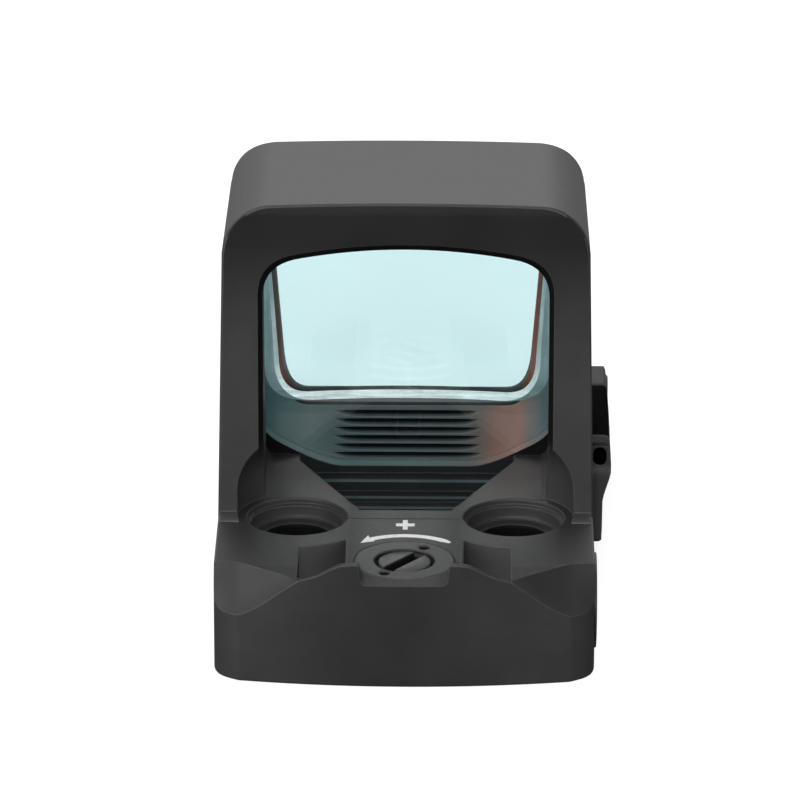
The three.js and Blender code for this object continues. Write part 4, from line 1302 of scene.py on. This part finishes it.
def lens_edge(name, stops, glow):
    """Rim of a lens element, glowing as painted light in the coating's colours across the width."""
    g = new_graph(name)
    x, _, _ = g.position()
    mottle = g.noise(scale=900, detail=3, rough=0.6)
    colour = g.ramp((width_share(x).clamp() + (mottle - 0.5) * 0.03).clamp(), stops)
    return g.close(g.add("BsdfPrincipled", {
        "Base Color": colour,
        "Emission Color": colour,
        "Emission Strength": glow,
        "Roughness": mottle * 0.2 + 0.5,
        "Specular IOR Level": 0.1,
    }))


EDGE_REAR = lens_edge("lens_edge_rear", glow=0.75, stops=[
    (0.0, (0.040, 0.070, 0.074)), (0.16, (0.070, 0.095, 0.099)), (0.3, (0.058, 0.082, 0.086)),
    (0.5, (0.062, 0.092, 0.094)), (0.72, (0.070, 0.082, 0.080)), (0.80, (0.13, 0.088, 0.078)),
    (0.89, (0.18, 0.105, 0.092)), (0.95, (0.10, 0.10, 0.094)), (1.0, (0.07, 0.09, 0.095))])
EDGE_FRONT = lens_edge("lens_edge_front", glow=0.8, stops=[
    (0.0, (0.02, 0.02, 0.022)), (0.05, (0.07, 0.026, 0.019)), (0.085, (0.05, 0.02, 0.016)),
    (0.12, (0.006, 0.008, 0.009)), (0.3, (0.004, 0.007, 0.009)), (0.8, (0.004, 0.009, 0.012)),
    (0.9, (0.02, 0.018, 0.017)), (0.93, (0.14, 0.048, 0.028)), (1.0, (0.16, 0.055, 0.034))])

DISC_BASE = (0.038, 0.0382, 0.0388)
ADJUSTER_BASE = (0.046, 0.046, 0.047)
WIND_DISC_TOP = WIND_SEAT + DISC_T + WIND_PROUD
HOUSING = anodised("anodised_housing", lines=0.1, tint=housing_light_and_shade)
COVER = anodised("anodised_cover", rough=0.44, tint=cover_light_and_shade, glow_gain=0.5)
DISC = anodised("anodised_disc", DISC_BASE, rough=0.44, lines=0.15, line_axis="x",
                tint=deep_cut(axis=2, top=DECK, reach=0.14))
SIDE_DISC = anodised("anodised_side_disc", DISC_BASE, rough=0.44, lines=0.15, line_axis="y",
                     tint=deep_cut(axis=0, top=WIND_DISC_TOP, reach=0.14))
DRAWER = anodised("anodised_drawer", rough=0.46, lines=0.08, tint=drawer_light_and_shade)
PLATE = anodised("anodised_plate", base=(0.034, 0.0345, 0.035), rough=0.5, lines=0.1,
                 line_axis="y")
SCREW = anodised("black_oxide_steel", base=(0.05, 0.05, 0.051), rough=0.4, lines=0.2,
                 line_axis="x", spec=0.6)
ELEV_SCREW = anodised("black_oxide_adjuster", ADJUSTER_BASE, rough=0.4, lines=0.2,
                      line_axis="x", spec=0.6,
                      tint=deep_cut(axis=2, top=ELEV_SCREW_TOP, reach=0.16))
WIND_SCREW = anodised("black_oxide_side_adjuster", ADJUSTER_BASE, rough=0.4, lines=0.2,
                      line_axis="y", spec=0.6,
                      tint=deep_cut(axis=0, top=WIND_SCREW_TOP, reach=0.16))
STEEL = bright_metal("spring_steel", base=(0.50, 0.51, 0.53), rough=0.3)
BRASS = bright_metal("brass", base=(0.62, 0.44, 0.19), rough=0.34)
CELL = bright_metal("nickel_can", base=(0.62, 0.63, 0.64), rough=0.24, brushed=0.1)
RUBBER = rubbery("rubber")
BUTTON = rubbery("button_rubber", base=(0.022, 0.022, 0.024), rough=0.6, spec=0.4)
BOARD = board_finish("solder_mask")
CHIP = rubbery("chip_epoxy", base=(0.012, 0.012, 0.013), rough=0.45, spec=0.5)
FLEX = rubbery("polyimide", base=(0.42, 0.19, 0.04), rough=0.35, spec=0.5)
LED = rubbery("led_package", base=(0.16, 0.015, 0.012), rough=0.25, spec=0.6)
BOND = adhesive("lens_adhesive")
REAR_GLASS = coated_glass("coated_lens", tint=(0.885, 0.962, 0.968), coat=(1.0, 0.93, 0.91))
FRONT_GLASS = coated_glass("coated_lens_front", tint=(0.90, 0.968, 0.972),
                           coat=(0.75, 0.95, 1.0), reflect=0.04)
WINDOW = coated_glass("clear_window", tint=(0.97, 0.99, 0.99), coat=(1, 1, 1))
GROUND = ground_glass("ground_glass_edge", low=(0.76, 0.80, 0.79), high=(0.36, 0.40, 0.40),
                      top=(0.22, 0.30, 0.32))
FLANK = ground_glass("ground_glass_flank", low=(0.10, 0.15, 0.155), high=(0.13, 0.19, 0.20),
                     top=(0.17, 0.25, 0.26))
PAINT = marking_paint("marking_paint")


# ---------------------------------------------------------------- visible pieces
def dress(piece, material):
    piece.data.materials.clear()
    piece.data.materials.append(material)
    for polygon in piece.data.polygons:
        polygon.material_index = 0


def add_piece(piece, name, body, material, slot, *nodes, sharp=30, bevel=0.0, segments=2):
    """Names and finishes a piece and hands it to the frame in place of its CAD nodes."""
    piece.name = piece.data.name = name
    soften(piece, sharp, bevel, segments)
    dress(piece, material)
    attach(piece, body)
    if nodes:
        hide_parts(*nodes)
    return piece


def coat_sides(piece, material):
    """Second finish on the faces round the rim of a plate that looks along y."""
    piece.data.materials.append(material)
    for polygon in piece.data.polygons:
        if abs(polygon.normal.y) < 0.5:
            polygon.material_index = 1


def sloped(half, start, end):
    """Solid along y whose lower edge falls at the lens slope from the front element's back."""
    levels = [(y, full(lowered(half, LENS_SLOPE * max(0.0, y - FRONT_LENS_Y))))
              for y in (start, end)]
    return stack(levels, "XZ")


def sloped_hole(half):
    """Opening that is straight behind the front element and sloped from there on."""
    y = FRONT_LENS_Y
    outline = full(half)
    fallen = full(lowered(half, LENS_SLOPE * 2))
    return stack([(y - 1, outline), (y, outline), (y + 2, fallen)], "XZ")


def add_lens():
    y = FRONT_LENS_Y
    rear = add_piece(across(full(LENS), LENS_Y, LENS_Y + LENS_T),
                     "lens_rear_element", "housing", REAR_GLASS, "lens", "lens_rear")
    coat_sides(rear, EDGE_REAR)
    front = add_piece(sloped(CLEAR, y, y + LENS_T),
                      "lens_front_element", "housing", FRONT_GLASS, "lens", "lens_front")
    coat_sides(front, EDGE_FRONT)
    edge_tool = sloped_hole(RIM)
    add_piece(cut(across(full(BAND), y - 0.02, y + 0.9), edge_tool),
              "lens_front_ground_edge", "housing", GROUND, "lens")
    add_piece(cut(across(full(FRONT_LENS), y, y + 0.9),
                  across(full(grown(BAND, 0.004)), y - 1, y + 2)),
              "lens_front_flank", "housing", FLANK, "lens")
    bond_tool = sloped_hole(grown(CLEAR, 0.01))
    inner_rim = grown(RIM, -0.01)
    depth = 0.93
    bond = stack([(y + 0.02, full(inner_rim)),
                  (y + depth, full(lowered(inner_rim, LENS_SLOPE * depth)))], "XZ")
    add_piece(cut(bond, bond_tool), "lens_bond_line", "housing", BOND, "bond", "lens_bond")


def add_adjusters():
    quarter = math.pi / 2
    disc = place(adjuster_disc(DISC_R, proud=0.0), 0, ELEV_Y, ELEV_SEAT)
    add_piece(disc, "elevation_retainer", "housing", DISC, "housing", "elevation_disc")
    screw = adjuster_screw([
        (0, -5.0), (0.62, -5.0), (0.86, -4.75), (0.86, -2.0), (1.1, -2.0), (1.1, -1.25),
        (2.5, -1.25), (2.5, -1.02), (SCREW_R, -1.02)], slot_degrees=52.8)
    add_piece(place(screw, 0, ELEV_Y, ELEV_SCREW_TOP), "elevation_adjuster",
              "elevation_screw", ELEV_SCREW, "screw_black", "elevation_screw", bevel=0.03)

    disc = adjuster_disc(WIND_DISC_R, WIND_PROUD)
    add_piece(place(disc, WIND_SEAT, WIND_Y, WIND_Z, quarter), "windage_retainer",
              "housing", SIDE_DISC, "housing", "windage_disc")
    screw = adjuster_screw([
        (0, -10.0), (0.6, -10.0), (0.6, -2.2), (1.1, -2.2), (1.1, -1.35), (2.45, -1.35),
        (2.45, -1.12), (SCREW_R, -1.12)], slot_degrees=35)
    add_piece(place(screw, WIND_SCREW_TOP, WIND_Y, WIND_Z, quarter), "windage_adjuster",
              "windage_screw", WIND_SCREW, "screw_black", "windage_screw", bevel=0.03)


def add_battery():
    add_piece(build_drawer(), "battery_drawer", "battery_tray", DRAWER, "housing",
              "battery_tray", bevel=0.08)
    cell = turned([(0, 1.5), (6.6, 1.5), (6.65, 1.55), (6.65, 1.62), (7.7, 1.64), (7.95, 1.72),
                   (CELL_R, 1.9), (CELL_R, 4.5), (7.93, 4.66), (7.8, 4.7), (7.2, 4.7),
                   (7.15, 4.67), (0, 4.67)], 128, "z", (CELL_X, CELL_Y, 0))
    add_piece(cell, "coin_cell", "battery_tray", CELL, "cell", "battery")
    screw = cross_screw([(0, -3.3), (0.5, -3.3), (0.68, -3.1), (0.68, -0.75), (0.94, -0.75),
                         (0.94, -0.12), (0.86, -0.02), (0.8, 0), (0, 0)],
                        half_l=0.6, half_w=0.13, z0=-0.4, z1=1, segments=48)
    add_piece(place(screw, 14.52, LOCK_Y, LOCK_Z, math.pi / 2), "drawer_lock_screw",
              "tray_screw", SCREW, "screw_black", "tray_screw", bevel=0.02, segments=1)


def add_buttons():
    """Button surround and the two buttons, marked with a bar and a cross."""
    bezel = along(round_rect(13.95, 28.05, 1.35, 6.45, 2.35, 14), -12.9, -12.2)
    bezel = cut(bezel, *[rod(BUTTON_R + 0.08, -14, -11, 72, "x", (0, y, BUTTON_Z))
                         for y in (BUTTON_MINUS_Y, BUTTON_PLUS_Y)])
    add_piece(bezel, "button_surround", "housing", PLATE, "plate", "button_bezel",
              bevel=0.12, segments=3)
    r = BUTTON_R
    profile = [(0, 0), (r + 0.35, 0), (r + 0.35, 0.28), (r, 0.28), (r, 1.0), (r - 0.03, 1.12),
               (r - 0.12, 1.22), (r - 0.3, 1.27), (1.0, 1.295), (0, 1.3)]
    for sign, y in (("minus", BUTTON_MINUS_Y), ("plus", BUTTON_PLUS_Y)):
        button = cut(turned(profile, 72),
                     plan(round_rect(-0.12, 0.12, -0.75, 0.75, 0.11, 4), 1.16, 2))
        if sign == "plus":
            button = cut(button, plan(round_rect(-0.75, 0.75, -0.12, 0.12, 0.11, 4), 1.16, 2))
        add_piece(place(button, -11.68, y, BUTTON_Z, -math.pi / 2), f"brightness_{sign}",
                  f"button_{sign}", BUTTON, "button", f"button_{sign}", bevel=0.03)


def add_underside():
    hole = [(0, -1), (0.98, -1), (0.98, 0.36), (0.62, 0.42), (0.62, 1.5), (0, 1.5)]
    plate = cut(plan(plate_outline(-0.06), 0, 0.76),
                *[turned(hole, 40, "z", (x, y, 0)) for x, y in PLATE_SCREWS])
    add_piece(plate, "underside_plate", "housing", PLATE, "plate", "bottom_plate", bevel=0.06)
    profile = [(0, 0.04), (0.82, 0.04), (0.9, 0.1), (0.9, 0.3), (0.55, 0.38), (0.55, 2.6),
               (0, 2.8)]
    for i, (x, y) in enumerate(PLATE_SCREWS, 1):
        screw = cross_screw(profile, half_l=0.5, half_w=0.1, z0=-1, z1=0.24, segments=40)
        add_piece(place(screw, x, y, 0), f"underside_screw_{i}", "housing", SCREW,
                  "screw_black", f"plate_screw_{i}", bevel=0.02, segments=1)


def add_markings():
    """Painted arc arrow round the elevation adjuster, and a plus sign ahead of it."""
    z0, z1 = DECK - 0.02, DECK + 0.008

    def polar(radius, angle):
        return radius * math.cos(angle), ELEV_Y + radius * math.sin(angle)

    outer, inner = [], []
    for i in range(41):
        angle = math.radians(46 + (121 - 46) * i / 40)
        half_w = 0.27 * min(1.0, 0.45 + i / 7)
        outer.append(polar(4.42 + half_w, angle))
        inner.append(polar(4.42 - half_w, angle))
    head = [polar(r, math.radians(a)) for r, a in ((5.12, 119.5), (4.32, 134.5), (3.98, 121.5))]
    add_piece(plan(outer + head + inner[::-1], z0, z1), "adjust_arrow_mark", "housing", PAINT,
              "button")
    plus_y = ELEV_Y + 6.4
    plus = [(-0.17, -0.86), (0.17, -0.86), (0.17, -0.26), (0.64, -0.26), (0.64, 0.26),
            (0.17, 0.26), (0.17, 0.86), (-0.17, 0.86), (-0.17, 0.26), (-0.64, 0.26),
            (-0.64, -0.26), (-0.17, -0.26)]
    add_piece(plan([(x, plus_y + y) for x, y in plus], z0, z1), "adjust_plus_mark", "housing",
              PAINT, "button")


add_piece(build_housing(), "housing_shell", "housing", HOUSING, "housing", "housing", sharp=24)
add_piece(build_cover(), "front_cover_shell", "housing", COVER, "frame", "front_cover", sharp=24)
add_lens()
add_adjusters()
add_battery()
add_buttons()
add_underside()
add_markings()

# CAD pieces that are kept as they are
for node, material in {
    "elevation_click_spring": STEEL, "elevation_oring": RUBBER, "elevation_spring": STEEL,
    "elevation_carriage": BRASS, "windage_click_spring": STEEL, "windage_oring": RUBBER,
    "windage_spring": STEEL, "emitter_block": BRASS, "emitter_led": LED,
    "emitter_window": WINDOW, "flex_cable": FLEX, "circuit_board": BOARD,
    "controller_chip": CHIP, "bottom_gasket": RUBBER, "battery_seal": RUBBER,
    "contact_negative": STEEL, "contact_positive": STEEL, "button_pad": RUBBER,
    "switch_dome_minus": STEEL, "switch_dome_plus": STEEL, "button_board": BOARD,
}.items():
    dress(NODES[node], material)


# ---------------------------------------------------------------- floor, light and camera
def studio_floor(name):
    """Pale sweep: near white to the camera, a softly graded table to everything else."""
    g = new_graph(name)
    cloud = g.noise(scale=6, detail=2)
    matt = g.add("BsdfDiffuse", {
        "Color": g.ramp(cloud, [(0.3, (0.30, 0.30, 0.30)), (0.7, (0.32, 0.32, 0.32))])})
    seen = g.add("AddShader", {0: matt, 1: g.add("Emission", {"Strength": 0.84})})
    # a bright band 50 mm behind the origin, and a lift ahead of it
    _, y, _ = g.position()
    band = ((y + 0.050) / 0.026).bell()
    strength = band * 0.22 + (y.above(0.02) * 0.34 + 0.05)
    unseen = g.add("Emission", {"Strength": strength})
    return g.close(g.add("MixShader", {
        0: g.add("LightPath", output="Is Camera Ray"), 1: unseen, 2: seen}))


floor = solid([(-900, -700, -0.03), (900, -700, -0.03), (900, 1800, -0.03),
               (-900, 1800, -0.03)], [(0, 1, 2, 3)])
floor.name = floor.data.name = "floor"
dress(floor, studio_floor("pale_floor"))
floor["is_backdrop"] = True

# Soft lobes of sky light: axis, sign, power (tightness), gain
SKY_BASE = 0.07
SKY_LOBES = [(2, 1, 1.0, 0.36), (1, 1, 1.5, 0.58), (0, -1, 2.0, 0.36), (0, 1, 2.0, 0.03)]


def build_world():
    g = Graph(bpy.data.worlds.new("studio"))
    direction = g.split(g.add("TexCoord", output="Generated"))
    total = g.constant(SKY_BASE)
    for axis, sign, power, gain in SKY_LOBES:
        total = total + (direction[axis] * sign).max(0.0) ** power * gain
    sky = g.add("Background", {"Strength": total, "Color": WHITE})
    return g.close(sky, "OutputWorld")


SCENE.world = build_world()

# Square area lights: name, place (m), target (m), size (m), power (W)
CENTRE = (0, 0, 0.012)
LIGHTS = [
    ("key_left", (-0.42, -0.10, 0.42), CENTRE, 0.30, 0.75),
    ("top_back", (0.02, 0.38, 0.50), (0, 0.01, 0.02), 0.40, 1.5),
    ("fill_right", (0.45, -0.15, 0.30), CENTRE, 0.25, 0.06),
    ("front_fill", (-0.04, -0.52, 0.34), CENTRE, 0.16, 1.6),
    ("low_left", (-0.30, -0.30, 0.10), (-0.004, -0.006, 0.012), 0.18, 0.68),
    ("low_right", (0.30, -0.32, 0.10), (0.004, -0.006, 0.012), 0.18, 0.13),
    ("drawer_kick", (0.055, -0.11, 0.035), (0.0138, 0.014, 0.005), 0.03, 0.012),
]
for name, location, target, size, power in LIGHTS:
    light = bpy.data.lights.new(name, "AREA")
    light.shape = "RECTANGLE"
    light.size = size
    light.size_y = size
    light.energy = power
    lamp = bpy.data.objects.new(name, light)
    COLLECTION.objects.link(lamp)
    lamp.location = location
    aim = Vector(target) - Vector(location)
    lamp.rotation_euler = aim.to_track_quat("-Z", "Y").to_euler()

# Camera behind the sight, looking down on the deck and forwards
CAMERA_TILT = math.radians(20.8)
CAMERA_YAW = math.radians(0.52)
CAMERA_ROLL = math.radians(0.1)
CAMERA_DISTANCE = 0.4385        # along the view, to the deck point between the wells (m)
DECK_POINT_RIGHT = 0.00039250157    # that point's place right of the view axis (m)
DECK_POINT_BELOW = 0.0080393962     # and below it (m)


def build_camera():
    data = bpy.data.cameras.new("camera")
    data.sensor_width = 36
    data.sensor_fit = "HORIZONTAL"
    data.lens = 286.56
    data.clip_start = 0.02
    data.clip_end = 10
    camera = bpy.data.objects.new("camera", data)
    COLLECTION.objects.link(camera)
    forward = Vector((-math.sin(CAMERA_YAW) * math.cos(CAMERA_TILT),
                      math.cos(CAMERA_YAW) * math.cos(CAMERA_TILT), -math.sin(CAMERA_TILT)))
    right = Vector((math.cos(CAMERA_YAW), math.sin(CAMERA_YAW), 0))
    up = right.cross(forward)
    location = (Vector((0, 0, DECK * MM)) - forward * CAMERA_DISTANCE
                - right * DECK_POINT_RIGHT + up * DECK_POINT_BELOW)
    turn = Matrix((right, up, -forward)).transposed().to_4x4()
    turn = turn @ Matrix.Rotation(CAMERA_ROLL, 4, "Z")
    camera.matrix_world = Matrix.Translation(location) @ turn
    return camera


SCENE.camera = build_camera()
SCENE.view_settings.view_transform = "Standard"
SCENE.view_settings.look = "None"
SCENE.view_settings.exposure = 0.0
SCENE.view_settings.gamma = 1.0

size = {"cad": [list(map(float, v)) for v in CAD_BOX],
        "visual": [list(map(float, v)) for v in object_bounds()]}
